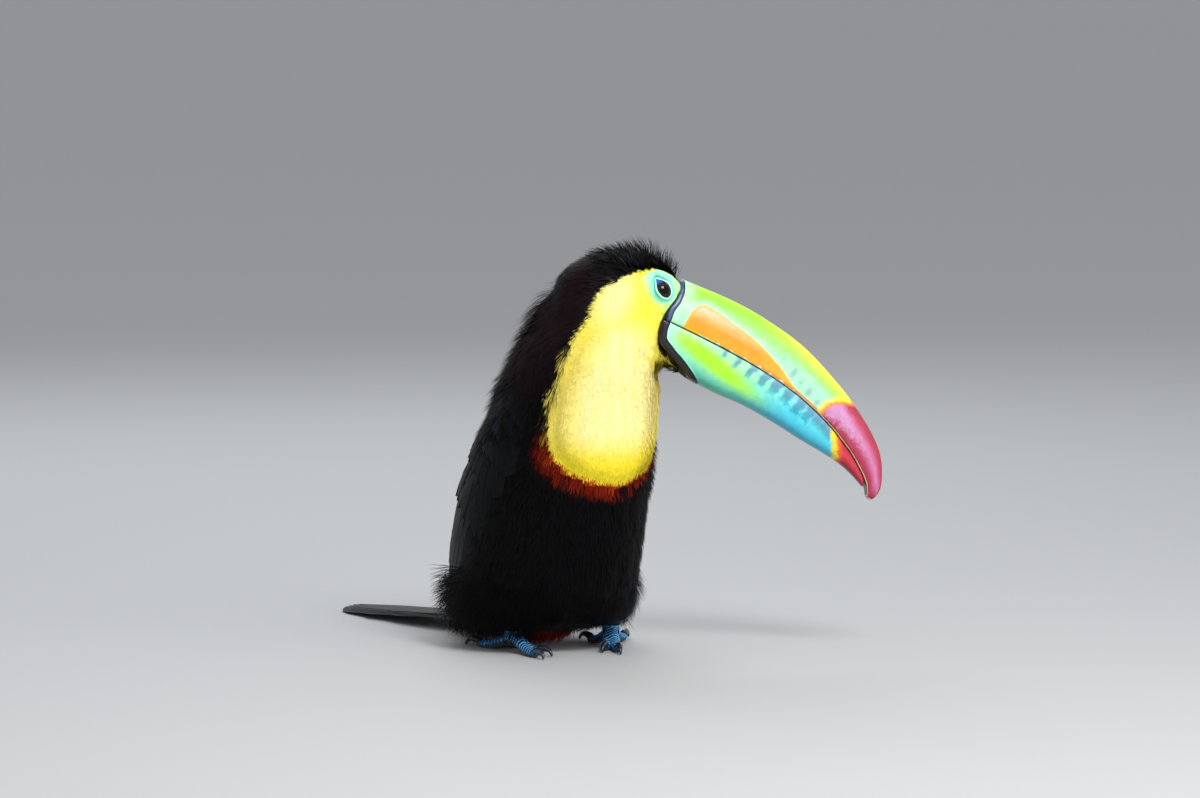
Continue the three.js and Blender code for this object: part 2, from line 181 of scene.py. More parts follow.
# The body's middle line: [height, sideways, forward-to-back, turn to the left in degrees], in mm.
SPINE = np.array([
    [0, 0, 18, 0],
    [28, 0, 18.6, 0],
    [60, 0, 9.8, 0],
    [92, 0, 1.6, 0],
    [118, 0, -6.6, 0],
    [138, 0, -14, 2],
    [160, 2, -24.5, 14],
    [176, 5.5, -28, 32],
    [188, 7.5, -30, 48],
    [198, 10, -32, 58],
])


def only(thing):
    """Makes one object the selected and active one."""
    bpy.ops.object.select_all(action="DESELECT")
    thing.select_set(True)
    bpy.context.view_layer.objects.active = thing


def merge_points(reach, outward=False):
    """Joins points of the active mesh that are within reach in mm, and can turn its faces outward."""
    bpy.ops.object.mode_set(mode="EDIT")
    bpy.ops.mesh.select_all(action="SELECT")
    bpy.ops.mesh.remove_doubles(threshold=reach * MM)
    if outward:
        bpy.ops.mesh.normals_make_consistent(inside=False)
    bpy.ops.object.mode_set(mode="OBJECT")


def copy_of_nodes(name, nodes):
    """One new object with merged copies of these CAD nodes' meshes."""
    bpy.ops.object.select_all(action="DESELECT")
    for each in nodes:
        frame["nodes"][each].select_set(True)
    bpy.context.view_layer.objects.active = frame["nodes"][nodes[0]]
    bpy.ops.object.duplicate()
    if len(nodes) > 1:
        bpy.ops.object.join()
    made = bpy.context.object
    bpy.ops.object.parent_clear(type="CLEAR_KEEP_TRANSFORM")
    for key in [k for k in made.keys() if k.startswith("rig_")]:
        del made[key]
    made.name = name
    made.data.name = name
    made.data.materials.clear()
    merge_points(0.002)
    return made


def apply_modifier(thing, kind, **settings):
    """Adds a modifier, sets it and applies it."""
    only(thing)
    modifier = thing.modifiers.new(kind.lower(), kind)
    for key, value in settings.items():
        setattr(modifier, key, value)
    bpy.ops.object.modifier_apply(modifier=modifier.name)


def corners(thing):
    """A mesh's vertices as an array."""
    flat = np.empty(len(thing.data.vertices) * 3, np.float32)
    thing.data.vertices.foreach_get("co", flat)
    return flat.reshape(-1, 3).astype(float)


def normals(thing):
    """A mesh's vertex normals as an array."""
    flat = np.empty(len(thing.data.vertices) * 3, np.float32)
    thing.data.vertex_normals.foreach_get("vector", flat)
    return flat.reshape(-1, 3).astype(float)


def set_corners(thing, places):
    thing.data.vertices.foreach_set("co", places.astype(np.float32).ravel())
    thing.data.update()


def unit(vectors):
    """Each row at length 1."""
    return vectors / np.maximum(np.linalg.norm(vectors, axis=-1, keepdims=True), 1e-12)


def ease(values, start, end):
    """0 at start, 1 at end, and smooth between."""
    share = np.clip((values - start) / (end - start), 0, 1)
    return share * share * (3 - 2 * share)


def in_body(points):
    """Points in mm from the middle of the feet: x to the bird's left, y back, z up."""
    return (points - np.array(FEET_MIDDLE)) / MM


def from_body(points):
    return np.asarray(points, float) * MM + np.array(FEET_MIDDLE)


def in_head(points):
    """Points in the head's own mm: x along the bill, y to the left, z up."""
    return (points - np.array(HEAD_ORIGIN)) @ head_axes / MM


def from_head(points):
    return (np.asarray(points, float) * MM) @ head_axes.T + np.array(HEAD_ORIGIN)


def beside(points, line):
    """Signed distance of 2-D points from an open line, positive to the right as it is drawn."""
    line = np.array(line, float)
    best = np.full(len(points), 1e9)
    sign = np.ones(len(points))
    for start, end in zip(line[:-1], line[1:]):
        along = end - start
        share = np.clip((points - start) @ along / (along @ along), 0, 1)
        offset = points - start - share[:, None] * along
        distance = np.hypot(offset[:, 0], offset[:, 1])
        side = along[1] * (points[:, 0] - start[0]) - along[0] * (points[:, 1] - start[1])
        nearer = distance < best - 1e-9
        best = np.where(nearer, distance, best)
        sign = np.where(nearer, np.where(side >= 0, 1.0, -1.0), sign)
    return best * sign


def off_spine(body):
    """How far each point lies to the left of the body's middle line and behind it, in mm."""
    across = body[:, 0] - np.interp(body[:, 2], SPINE[:, 0], SPINE[:, 1])
    return across, body[:, 1] - np.interp(body[:, 2], SPINE[:, 0], SPINE[:, 2])


def round_spine(points):
    """(distance round the body from its front line, height) in mm."""
    body = in_body(points)
    height = body[:, 2]
    across, back = off_spine(body)
    turn = np.radians(np.interp(height, SPINE[:, 0], SPINE[:, 3]))
    angle = np.arctan2(back, across) + math.pi / 2 - turn
    angle = (angle + math.pi) % (2 * math.pi) - math.pi
    return np.stack([np.abs(angle) * np.hypot(across, back), height], axis=1)


# The bib's edge. Below the jaw it is (distance round the body, height), and on the head it is
# (forward, up) in the head's frame.
BIB_BELOW = [
    (-60, 89.4), (1, 89.5), (8, 90.2), (16, 92.4), (24.5, 96.6), (30, 101.2), (34, 107.4), (36.8, 116),
    (37, 128), (36.6, 141), (38, 156), (38.4, 170), (39, 188), (39, 230),
]
BIB_ON_HEAD = [
    (-42, -90), (-40.8, -62), (-40.2, -52), (-40.8, -37.4), (-41, -32), (-39.8, -23), (-35.2, -17),
    (-30.8, -11.6), (-24, -6.6), (-17.5, -2.9), (-13.4, -2.2), (-8.6, -2.2), (-4.2, -3.2),
    (-2.4, -3.8), (-1.0, -3.8), (0.4, -3.0), (30, -3.0),
]


def inside_bib(points):
    """How far inside the yellow bib and face each point lies, in mm, and negative outside."""
    head, body_height = in_head(points), in_body(points)[:, 2]
    low = -beside(round_spine(points), BIB_BELOW)
    high = beside(head[:, [0, 2]], BIB_ON_HEAD)
    share = ease(head[:, 2], -58, -38)
    under_bill = (head[:, 2] < -30) & (head[:, 2] > -54) & (body_height > 138)
    chin = np.where(under_bill, np.maximum(9 - head[:, 0], head[:, 2] + 43), 99)
    return np.minimum(low + (high - low) * share, chin)


SHOULDER = (43, -12, 130)  # the middle of the painted blue sheen at the left wing's bend, in mm

# The outline of the bare skin round an eye and along the bill's base: (forward, up) on the head.
BARE_EDGE = [
    (-21.8, -14), (-22.4, -9.8), (-20.6, -5.8), (-17, -2.7), (-13, -1.7), (-8.2, -1.5), (-4.2, -2.2),
    (-0.9, -3.4), (0.3, -6.5), (-0.3, -13), (-2.0, -20), (-2.5, -25.5), (-4.6, -25.5),
    (-7.2, -21.8), (-11.6, -20.6), (-16.4, -19.2), (-20, -17),
]


def inside_bare(head):
    """How far inside the bare skin's outline each point of the head lies, in mm."""
    return beside(head[:, [0, 2]], BARE_EDGE + BARE_EDGE[:1])


def inside_uppertail(body, facing):
    """How far inside the white patch over the tail's root each point lies, roughly in mm."""
    side = np.minimum(15 - np.abs(body[:, 0]), (facing[:, 2] + 0.05) * 12)
    return np.minimum(np.minimum(body[:, 1] - 80, 110 - body[:, 1]), side)


def inside_undertail(body, facing):
    """How far inside the red under and behind the legs each point lies, roughly in mm."""
    turned = np.maximum((-0.1 - facing[:, 2]) * 12, (body[:, 1] - 30) * 0.5)
    low = np.minimum(15 - body[:, 2], turned)
    return np.minimum(np.minimum(body[:, 1] - 5, 112 - body[:, 1]), np.minimum(low, 36 - np.abs(body[:, 0])))


def linear(code):
    """A colour like F4EE20 as linear numbers."""
    parts = np.array([int(code[i:i + 2], 16) / 255 for i in (0, 2, 4)])
    return np.where(parts <= 0.04045, parts / 12.92, ((parts + 0.055) / 1.055) ** 2.4)


def mix(first, second, share):
    return first + (second - first) * np.asarray(share)[..., None]


BLACK = linear("080709")
NAPE_MAROON = linear("241318")
LEMON = linear("F9EC50")
GOLD = linear("F6E21C")
LIME_YELLOW = linear("E6F056")
BIB_YELLOW = linear("FFEC6A")
PALE_YELLOW = linear("FFF6B2")
BAND_RED = linear("B4440C")
BAND_MIDDLE = linear("6E1706")
BAND_DARK = linear("360904")
SHOULDER_SHEEN = linear("12384F")
CREST_GLINT = linear("5E6F86")
VENT_RED = linear("C42A1A")
RUMP_WHITE = linear("E9E4DA")


def markings(points, facing, wobble=0.0):
    """The plumage's colour at each point of the skin, whose outward directions are facing."""
    body, head = in_body(points), in_head(points)
    inside = inside_bib(points) + wobble
    colour = np.tile(BLACK, (len(points), 1))
    nape = ease(head[:, 0], -36, -50) * ease(body[:, 2], 118, 150)
    colour = mix(colour, NAPE_MAROON, 0.75 * nape)
    x, y, z = SHOULDER
    shoulder = np.hypot(np.abs(body[:, 0]) - x, np.hypot(body[:, 1] - y, body[:, 2] - z))
    # A painted blue sheen at the bend of each wing.
    colour = mix(colour, SHOULDER_SHEEN, 0.45 * ease(shoulder + 4 * wobble, 10, 1))
    white = inside_uppertail(body, facing)
    colour = mix(colour, RUMP_WHITE, ease(white + wobble, 0, 1))
    colour = mix(colour, VENT_RED, ease(inside_undertail(body, facing) + wobble, 0, 1))
    below = inside / (1.05 - 0.45 * ease(body[:, 0], -6, 22))
    band = ease(below, -7.6, -5.6) * ease(body[:, 2], 117, 106)
    colour = mix(colour, BAND_DARK, band)
    colour = mix(colour, BAND_MIDDLE, band * ease(below, -6.6, -4.0))
    colour = mix(colour, BAND_RED, band * ease(below, -2.8, -0.8) * ease(body[:, 2], 115, 98))
    pale = ease(inside, 3, 18) * ease(head[:, 2], -28, -50) * ease(body[:, 2], 98, 120)
    streaks = 0.5 + 0.5 * np.sin(body[:, 0] * 0.85 + 1.6 * np.sin(body[:, 2] * 0.09))
    pale = pale * (0.72 + 0.28 * streaks) * ease(body[:, 0], 34, 14)
    cream = ease(np.hypot(head[:, 0] + 32, (head[:, 2] + 28) * 0.6), 15, 2) * (np.abs(head[:, 1]) > 8)
    yellow = mix(np.tile(LEMON, (len(points), 1)), BIB_YELLOW, ease(head[:, 2], -35, -70))
    yellow = mix(yellow, GOLD, 0.85 * ease(body[:, 2], 122, 98))
    yellow = mix(yellow, PALE_YELLOW, np.maximum(0.9 * pale, 0.8 * cream))
    lime = ease(inside_bare(head), -7, 1) * (np.abs(head[:, 1]) > 7) * ease(head[:, 2], -2, -14)
    yellow = mix(yellow, LIME_YELLOW, 0.7 * lime)
    return mix(colour, yellow, ease(inside, -0.8, 0.8))


def coat_depth(points):
    """How far the coat's tips stand off the skin, in mm."""
    body, head = in_body(points), in_head(points)
    depth = np.full(len(points), 3.6)
    on_head = ease(head[:, 2], -62, -48) * ease(body[:, 2], 150, 165)
    face = ease(head[:, 0], -42, -24)
    depth = depth + on_head * ((3.2 - 2.0 * face) - depth)
    crown = ease(head[:, 2], -9, -1) * ease(head[:, 0], -48, -36)
    depth = depth + crown * (4.8 - depth)
    bib = ease(inside_bib(points), 0, 8) * (1 - on_head)
    depth = depth + bib * (0.9 - depth)
    bare, beside_bill = inside_bare(head), np.abs(head[:, 1]) > 7
    depth = depth + ease(np.abs(bare), 4, 1.5) * beside_bill * (0.8 - depth)
    return depth + ease(bare, 2.2, 5.0) * beside_bill * (5.5 - depth)


def edges_of(thing):
    """A mesh's edges as pairs of vertex numbers."""
    flat = np.empty(len(thing.data.edges) * 2, np.int32)
    thing.data.edges.foreach_get("vertices", flat)
    return flat.reshape(-1, 2)


def even_out(values, edges, rounds):
    """Averages values at vertices with those of their neighbours."""
    counts = np.bincount(edges.ravel(), minlength=len(values)).astype(float)
    counts = np.maximum(counts, 1).reshape((-1,) + (1,) * (values.ndim - 1))
    for _ in range(rounds):
        sums = np.zeros_like(values)
        np.add.at(sums, edges[:, 0], values[edges[:, 1]])
        np.add.at(sums, edges[:, 1], values[edges[:, 0]])
        values = 0.5 * values + 0.5 * sums / counts
    return values


def paint_points(thing, name, colours):
    """Stores a linear colour for each vertex."""
    layer = thing.data.color_attributes.new(name, "FLOAT_COLOR", "POINT")
    rgba = np.ones((len(colours), 4), np.float32)
    rgba[:, :3] = colours
    layer.data.foreach_set("color", rgba.ravel())


def painted(tree):
    """The colour stored at the points, for a material."""
    return node(tree, "ShaderNodeAttribute", attribute_name="plumage").outputs["Color"]


skin = copy_of_nodes("skin", FLESH)
apply_modifier(skin, "DISPLACE", strength=0.35 * MM, mid_level=0)
apply_modifier(skin, "REMESH", mode="VOXEL", voxel_size=SKIN_VOXEL)
apply_modifier(skin, "SMOOTH", factor=0.6, iterations=14)

# The hollow between the hind crown and the back is filled out, as the nape is full there.
skin_edges = edges_of(skin)
outside = corners(skin)
full = even_out(outside, skin_edges, 400)
head, body = in_head(outside), in_body(outside)
nape = ease(head[:, 0], -24, -36) * ease(body[:, 2], 128, 146)
gain = np.sum((full - outside) * normals(skin), axis=1, keepdims=True)
outside = outside + (full - outside) * nape[:, None] * np.where(gain > 0, 1.1, 0.35)
set_corners(skin, even_out(outside, skin_edges, 4))
outside = corners(skin)
outward = normals(skin)
wanted = coat_depth(outside) * MM
walls = bvhtree.BVHTree.FromPolygons(
    [tuple(p) for p in outside], [tuple(p.vertices) for p in skin.data.polygons]
)
# Where the flesh is thin, the skin goes no deeper than a share of its thickness.
for i, (place, away) in enumerate(zip(outside, outward)):
    struck = walls.ray_cast(Vector(place - away * 0.05 * MM), Vector(-away))
    if struck[3] is not None:
        wanted[i] = min(wanted[i], 0.3 * struck[3])
depth = even_out(wanted, skin_edges, 6)
set_corners(skin, outside - outward * depth[:, None])
apply_modifier(skin, "SMOOTH", factor=0.5, iterations=6)
bpy.ops.object.shade_smooth()
roots = corners(skin)
facing = normals(skin)
paint_points(skin, "plumage", markings(roots, facing))

hide, tree, shader = new_material("hide")
shader.inputs["Roughness"].default_value = 0.7
tree.links.new(painted(tree), shader.inputs["Base Color"])
skin.data.materials.append(hide)
skin.data.calc_loop_triangles()
skin_faces = np.empty(len(skin.data.loop_triangles) * 3, np.int32)
skin.data.loop_triangles.foreach_get("vertices", skin_faces)
skin_faces = skin_faces.reshape(-1, 3)


# ---- Bill ----
# Two hollow horny halves that close on each other, light and smooth, with a worn, notched cutting
# edge. The horn itself carries the colours, and a raised black rim closes it against the face.

# The bill's outlines, as (forward, up) on the head in mm: its ridge, the cutting edge of each half,
# its lower edge, and from above down where it meets the face and where its black rim ends.
CULMEN = [
    (-5, 0), (27, 1.6), (49, 0.2), (72.4, -4.2), (96.5, -13.8), (112, -22), (124, -30),
    (132, -37.6), (137, -46), (139.6, -54), (138.6, -61),
]
UPPER_EDGE = [
    (-5, -24.6), (20, -24.6), (40, -25.2), (60, -26.9), (78, -29.8), (94, -34.4), (106, -39.2),
    (117, -44.8), (125.5, -50.4), (131.5, -55.6), (135, -61.5),
]
LOWER_EDGE = [
    (-5, -24.8), (20, -24.8), (40, -25.3), (60, -26.8), (78, -29.7), (94, -34.3), (106, -39.1),
    (117, -44.6), (125.5, -50.3), (130.5, -55.0),
]
KEEL = [
    (-5, -41), (20, -44.6), (38, -45.8), (56, -45.2), (73.5, -46.4), (90, -48.4), (104, -49.6),
    (116, -51.4), (125, -54.4), (131.2, -57.2),
]
BILL_BASE = [
    (-1.5, 8), (-0.9, -0.6), (0, -6.5), (-0.6, -13), (-2.4, -20), (-2.7, -26), (-1.2, -32.3),
    (2.4, -37), (9.4, -39.6), (17.2, -42.4), (28, -46.8), (35, -50),
]
BASE_HALF_WIDTH = 15.5
TIP_HALF_WIDTH = 3.2
TUCKED = 2.5  # how far the horn goes on behind its base line, under the feathers
RIM_EDGE = [
    (-0.5, 4), (-0.3, -1.2), (1.0, -4.5), (1.9, -8.4), (1.8, -13.6), (0.5, -18.6), (1.1, -24.2),
    (1.4, -28.9), (2.9, -33.2), (10.2, -36.6), (17.3, -39.4), (24.4, -42.9), (31, -46.4),
]
RIM_HEIGHT = 0.4
BLUNT_FROM = 0.95  # the share of its length where the tip starts to round off
TOOTH_PITCH = 2.7


def spline(points, shares):
    """Points on a smooth curve through the given ones, which are evenly spaced in share."""
    points = np.array(points, float)
    place = np.clip(np.asarray(shares, float), 0, 1) * (len(points) - 1)
    first = np.minimum(place.astype(int), len(points) - 2)
    t = (place - first)[..., None]
    p0, p1 = points[np.maximum(first - 1, 0)], points[first]
    p2, p3 = points[first + 1], points[np.minimum(first + 2, len(points) - 1)]
    bend = (2 * p0 - 5 * p1 + 4 * p2 - p3) * t * t + (3 * p1 - p0 - 3 * p2 + p3) * t ** 3
    return 0.5 * (2 * p1 + (p2 - p0) * t + bend)


def wrapped_sheet(name, columns, rows, place):
    """A sheet whose place(around, along) puts its points, joined where it meets itself."""
    bpy.ops.object.select_all(action="DESELECT")
    bpy.ops.mesh.primitive_grid_add(x_subdivisions=columns, y_subdivisions=rows, size=2)
    made = bpy.context.object
    made.name = name
    made.data.name = name
    flat = corners(made)
    set_corners(made, place((flat[:, 0] + 1) / 2, (flat[:, 1] + 1) / 2))
    merge_points(0.003, outward=True)
    bpy.ops.object.shade_smooth()
    return made


def store(thing, name, values):
    """Keeps one number for each vertex, for the material to read."""
    layer = thing.data.attributes.new(name, "FLOAT", "POINT")
    layer.data.foreach_set("value", values.astype(np.float32))


def base_x(heights):
    """Where the bill's base line is, forward, at these heights."""
    line = np.array(BILL_BASE, float)[::-1]
    return np.interp(heights, line[:, 1], line[:, 0])


def bill_half(name, edge, ridge, scale, columns, rows):
    """Half of the bill from its cutting edge round to its culmen or keel, as a closed shell."""
    shares = np.linspace(0, 1, 400)

    def place(around, along):
        angle = 2 * math.pi * around
        rise, out = np.sin(angle), np.cos(angle)
        height = 0.1 + rise * np.where(rise >= 0, 0.9, 0.1)
        begin = np.zeros_like(height)
        for level in np.unique(np.round(height, 5)):
            low, high = spline(edge, shares), spline(ridge, shares)
            line = low + (high - low) * level
            ahead = line[:, 0] - base_x(line[:, 1]) + TUCKED
            begin[np.abs(height - level) < 1e-4] = shares[np.argmax(ahead > 0)]
        inner = np.clip((along - 0.01) / 0.98, 0, 1)
        share = begin + (1 - begin) * inner
        low, high = spline(edge, share), spline(ridge, share)
        flat = low + (high - low) * height[:, None]
        taper = BASE_HALF_WIDTH + (TIP_HALF_WIDTH - BASE_HALF_WIDTH) * share ** 1.35
        closing = np.clip((share - BLUNT_FROM) / (1 - BLUNT_FROM), 0, 1)
        open_end = np.sqrt(1 - 0.98 * closing ** 2)[:, None]
        middle = 0.5 * (low + high)
        flat = middle + (flat - middle) * open_end
        fullness = np.where(rise >= 0, 0.72, 0.07)
        sunk = 1 - 0.3 * ease(flat[:, 0] - base_x(flat[:, 1]), 0.1, -2.2)
        flat = middle + (flat - middle) * sunk[:, None]
        y = np.sign(out) * np.abs(out) ** fullness * taper * scale * open_end[:, 0] * sunk
        points = np.stack([flat[:, 0], y, flat[:, 1]], axis=1)
        for end in (0, 1):
            ring = np.abs(along - end) < 1e-6
            points[ring] = points[ring].mean(axis=0)
        return from_head(points)

    return wrapped_sheet(name, columns, rows, place)


def carve_bill(thing, edge, upwards, seed):
    """Raises the rim at the base, and notches the cutting edge with small worn teeth."""
    points, away = corners(thing), normals(thing)
    head = in_head(points)
    rim = beside(head[:, [0, 2]], RIM_EDGE)
    raised = ease(rim, -0.7, 0.25) * RIM_HEIGHT
    line = spline(edge, np.linspace(0, 1, 200))
    above = (head[:, 2] - np.interp(head[:, 0], line[:, 0], line[:, 1])) * upwards
    chance = np.random.default_rng(seed)
    wear_and_edge_highlight = chance.uniform(0.35, 1.0, 80)
    tooth = head[:, 0] / TOOTH_PITCH + 0.35 * np.sin(head[:, 0] * 0.9)
    phase = tooth - np.floor(tooth)
    depth = np.where(phase < 0.75, phase / 0.75, (1 - phase) / 0.25)
    reach = ease(head[:, 0], 16, 30) * ease(head[:, 0], 128, 116)
    deep = 0.4 if upwards > 0 else 0.1
    notch = deep * depth * wear_and_edge_highlight[np.floor(tooth).astype(int) % 80] * reach * ease(above, 1.3, 0.1)
    lip = 0.22 * ease(np.abs(above - 1.5), 1.3, 0.0) * reach
    points = points + away * ((raised + lip)[:, None] * MM)
    lifted = np.zeros_like(head)
    lifted[:, 2] = notch * upwards
    set_corners(thing, points + lifted @ head_axes.T * MM)
    return rim, above


bill_upper = bill_half("bill_upper_horn", UPPER_EDGE, CULMEN, 1.0, 64, 280)
bill_lower = bill_half("bill_lower_horn", LOWER_EDGE, KEEL, 0.97, 64, 280)


def new_group(name, inputs, outputs):
    """A shader node group. Sockets are (name, kind, start value)."""
    group = bpy.data.node_groups.new(name, "ShaderNodeTree")
    for way, sockets in (("INPUT", inputs), ("OUTPUT", outputs)):
        for label, kind, value in sockets:
            socket = group.interface.new_socket(label, in_out=way, socket_type="NodeSocket" + kind)
            if value is not None:
                socket.default_value = value
    return group, group.nodes.new("NodeGroupInput"), group.nodes.new("NodeGroupOutput")


def math_node(tree, operation, first, second=None):
    """A Math node on two numbers or outputs."""
    made = node(tree, "ShaderNodeMath", operation=operation)
    for socket, value in zip(made.inputs, (first, second)):
        if isinstance(value, (int, float)):
            socket.default_value = value
        elif value is not None:
            tree.links.new(value, socket)
    return made.outputs[0]


def plus(tree, first, second):
    return math_node(tree, "ADD", first, second)


def less(tree, first, second):
    return math_node(tree, "SUBTRACT", first, second)


def times(tree, first, second):
    return math_node(tree, "MULTIPLY", first, second)


def lesser(tree, first, second):
    return math_node(tree, "MINIMUM", first, second)


# A stain lies where Distance is above 0, with a soft edge that wavers a little.
stain, given, made = new_group(
    "stain",
    [("Under", "Color", None), ("Stain", "Color", None), ("Distance", "Float", 0.0),
     ("Softness", "Float", 0.5), ("Waver", "Float", 0.5), ("Strength", "Float", 1.0)],
    [("Color", "Color", None)],
)
place = node(stain, "ShaderNodeTexCoord")
cloud = node(stain, "ShaderNodeTexNoise", inputs={"Scale": 420.0, "Detail": 4.0, "Roughness": 0.6})
stain.links.new(place.outputs["Object"], cloud.inputs["Vector"])
shift = less(stain, cloud.outputs["Fac"], 0.5)
shift = times(stain, shift, given.outputs["Waver"])
shift = plus(stain, shift, given.outputs["Distance"])
ramp = node(stain, "ShaderNodeMapRange", interpolation_type="SMOOTHSTEP")
stain.links.new(shift, ramp.inputs["Value"])
stain.links.new(times(stain, given.outputs["Softness"], -1.0), ramp.inputs["From Min"])
stain.links.new(given.outputs["Softness"], ramp.inputs["From Max"])
stain.links.new(given.outputs["Strength"], ramp.inputs["To Max"])
blend = node(stain, "ShaderNodeMix", data_type="RGBA")
stain.links.new(ramp.outputs["Result"], blend.inputs["Factor"])
stain.links.new(given.outputs["Under"], blend.inputs["A"])
stain.links.new(given.outputs["Stain"], blend.inputs["B"])
stain.links.new(blend.outputs["Result"], made.inputs["Color"])


def attribute(tree, name):
    return node(tree, "ShaderNodeAttribute", attribute_name=name).outputs["Fac"]


def ramp_of(tree, value, stops):
    """A colour ramp over [(place, colour code), ...], read at value."""
    made = node(tree, "ShaderNodeValToRGB")
    elements = made.color_ramp.elements
    while len(elements) < len(stops):
        elements.new(0.5)
    for element, (place, code) in zip(elements, stops):
        element.position = place
        element.color = (*linear(code), 1)
    tree.links.new(value, made.inputs["Fac"])
    return made.outputs["Color"]


def blend_of(tree, first, second, share):
    made = node(tree, "ShaderNodeMix", data_type="RGBA")
    for value, socket in ((first, "A"), (second, "B"), (share, "Factor")):
        tree.links.new(value, made.inputs[socket])
    return made.outputs["Result"]


def multiplied(tree, colour, shade):
    """A colour darkened by a shade of it."""
    made = node(tree, "ShaderNodeMix", data_type="RGBA", blend_type="MULTIPLY")
    made.inputs["Factor"].default_value = 1.0
    tree.links.new(colour, made.inputs["A"])
    tree.links.new(shade, made.inputs["B"])
    return made.outputs["Result"]


def noise(tree, scale, detail):
    """Fine noise fixed to the piece."""
    place = node(tree, "ShaderNodeTexCoord")
    made = node(tree, "ShaderNodeTexNoise", inputs={"Scale": scale, "Detail": detail})
    tree.links.new(place.outputs["Object"], made.inputs["Vector"])
    return made.outputs["Fac"]


def vary_gloss(tree, shader, value, low, high):
    """Lets the roughness go from low to high as value goes from 0 to 1."""
    made = node(tree, "ShaderNodeMapRange")
    made.inputs["To Min"].default_value = low
    made.inputs["To Max"].default_value = high
    tree.links.new(value, made.inputs["Value"])
    tree.links.new(made.outputs["Result"], shader.inputs["Roughness"])


def dent(tree, shader, height, strength, depth):
    """Gives the surface the fine relief of a height, to this depth in mm."""
    made = node(tree, "ShaderNodeBump")
    made.inputs["Strength"].default_value = strength
    made.inputs["Distance"].default_value = depth * MM
    tree.links.new(height, made.inputs["Height"])
    tree.links.new(made.outputs["Normal"], shader.inputs["Normal"])


def stained(tree, under, distance, colour, softness, waver=0.5, strength=1.0):
    """Lays one stain over a colour. The stain is a colour code or an output."""
    made = node(tree, "ShaderNodeGroup", node_tree=stain)
    made.inputs["Softness"].default_value = softness
    made.inputs["Waver"].default_value = waver
    made.inputs["Strength"].default_value = strength
    tree.links.new(under, made.inputs["Under"])
    tree.links.new(distance, made.inputs["Distance"])
    if isinstance(colour, str):
        made.inputs["Stain"].default_value = (*linear(colour), 1)
    else:
        tree.links.new(colour, made.inputs["Stain"])
    return made.outputs["Color"]


def between_marks(tree, value, start, end):
    """0 to 1 as value goes from start to end, and smooth."""
    made = node(tree, "ShaderNodeMapRange", interpolation_type="SMOOTHSTEP")
    made.inputs["From Min"].default_value = start
    made.inputs["From Max"].default_value = end
    tree.links.new(value, made.inputs["Value"])
    return made.outputs["Result"]


# Fine lengthwise grain and shallow dents of worn horn, as a height.
horn_grain, given, made = new_group("horn_grain", [("Size", "Float", 1.0)], [("Height", "Float", None)])
place = node(horn_grain, "ShaderNodeTexCoord")
along = node(horn_grain, "ShaderNodeMapping", vector_type="TEXTURE")
along.inputs["Rotation"].default_value = HEAD_TURN.to_euler("XYZ")
along.inputs["Scale"].default_value = (6.0, 1.0, 1.0)
horn_grain.links.new(place.outputs["Object"], along.inputs["Vector"])
streaks = node(horn_grain, "ShaderNodeTexNoise", inputs={"Scale": 900.0, "Detail": 5.0})
dents = node(horn_grain, "ShaderNodeTexNoise", inputs={"Scale": 130.0, "Detail": 2.0})
horn_grain.links.new(along.outputs["Vector"], streaks.inputs["Vector"])
horn_grain.links.new(place.outputs["Object"], dents.inputs["Vector"])
fine = times(horn_grain, streaks.outputs["Fac"], given.outputs["Size"])
both = plus(horn_grain, fine, dents.outputs["Fac"])
horn_grain.links.new(both, made.inputs["Height"])


def finish_horn(material, tree, shader, colour, thing, nodes):
    """Wires a horn colour, its gloss and its grain, and hands the piece over."""
    cloud = noise(tree, 260.0, 6.0)
    clouded = multiplied(tree, colour, ramp_of(tree, cloud, [(0.3, "E9EFE6"), (0.7, "FFFFFF")]))
    tree.links.new(clouded, shader.inputs["Base Color"])
    vary_gloss(tree, shader, cloud, 0.22, 0.42)
    grain = node(tree, "ShaderNodeGroup", node_tree=horn_grain)
    dent(tree, shader, grain.outputs["Height"], 0.25, 0.15)
    thing.data.materials.append(material)
    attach(thing, "root")
    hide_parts(*nodes)


# The bill's markings, as (forward, up) on the head in mm: the hind and upper edge of the upper
# half's orange patch, the hind edge of each crimson tip, and the middle of the lower half's lime.
PATCH = [
    (8.4, -40), (8.2, -21.5), (8.7, -15.5), (10.6, -10.6), (14, -8.3), (20, -8.6), (28, -10),
    (36, -11.6), (46, -13.8), (55, -17), (64, -21), (75.5, -27.5), (86, -33), (98, -40),
]
UPPER_TIP = [
    (91.5, -46), (92.9, -34.5), (93.5, -30), (95.5, -26.5), (101.5, -22.6), (111.5, -19), (119, -8),
]
LOWER_TIP = [(110, -60), (109.5, -50), (106.5, -45), (103, -40), (100, -30)]
LIME_MIDDLE = (30.0, -33.8)
# Grey smudges over the orange patch (forward, up, reach), pale nicks in the upper cutting edge
# (forward, reach), and how far forward each dark bar of the lower half stands, in mm.
SMUDGES = [(63, -15.5, 2.2), (71, -20.5, 3.0), (76.5, -23.0, 2.0), (82.5, -26.0, 3.0), (89, -28.4, 2.4)]
NICKS = [(22, 0.7), (28.6, 0.9), (36.4, 0.8), (44.6, 1.0), (53.5, 1.2), (60, 0.9), (67, 1.1), (75, 0.8)]
BARS = [34.4, 42.4, 51.0, 59.0, 66.4, 74.0, 82.0, 88.4, 93.6, 98.4, 102.4]
NOWHERE = -9.0  # the distance inside a marking where there is none


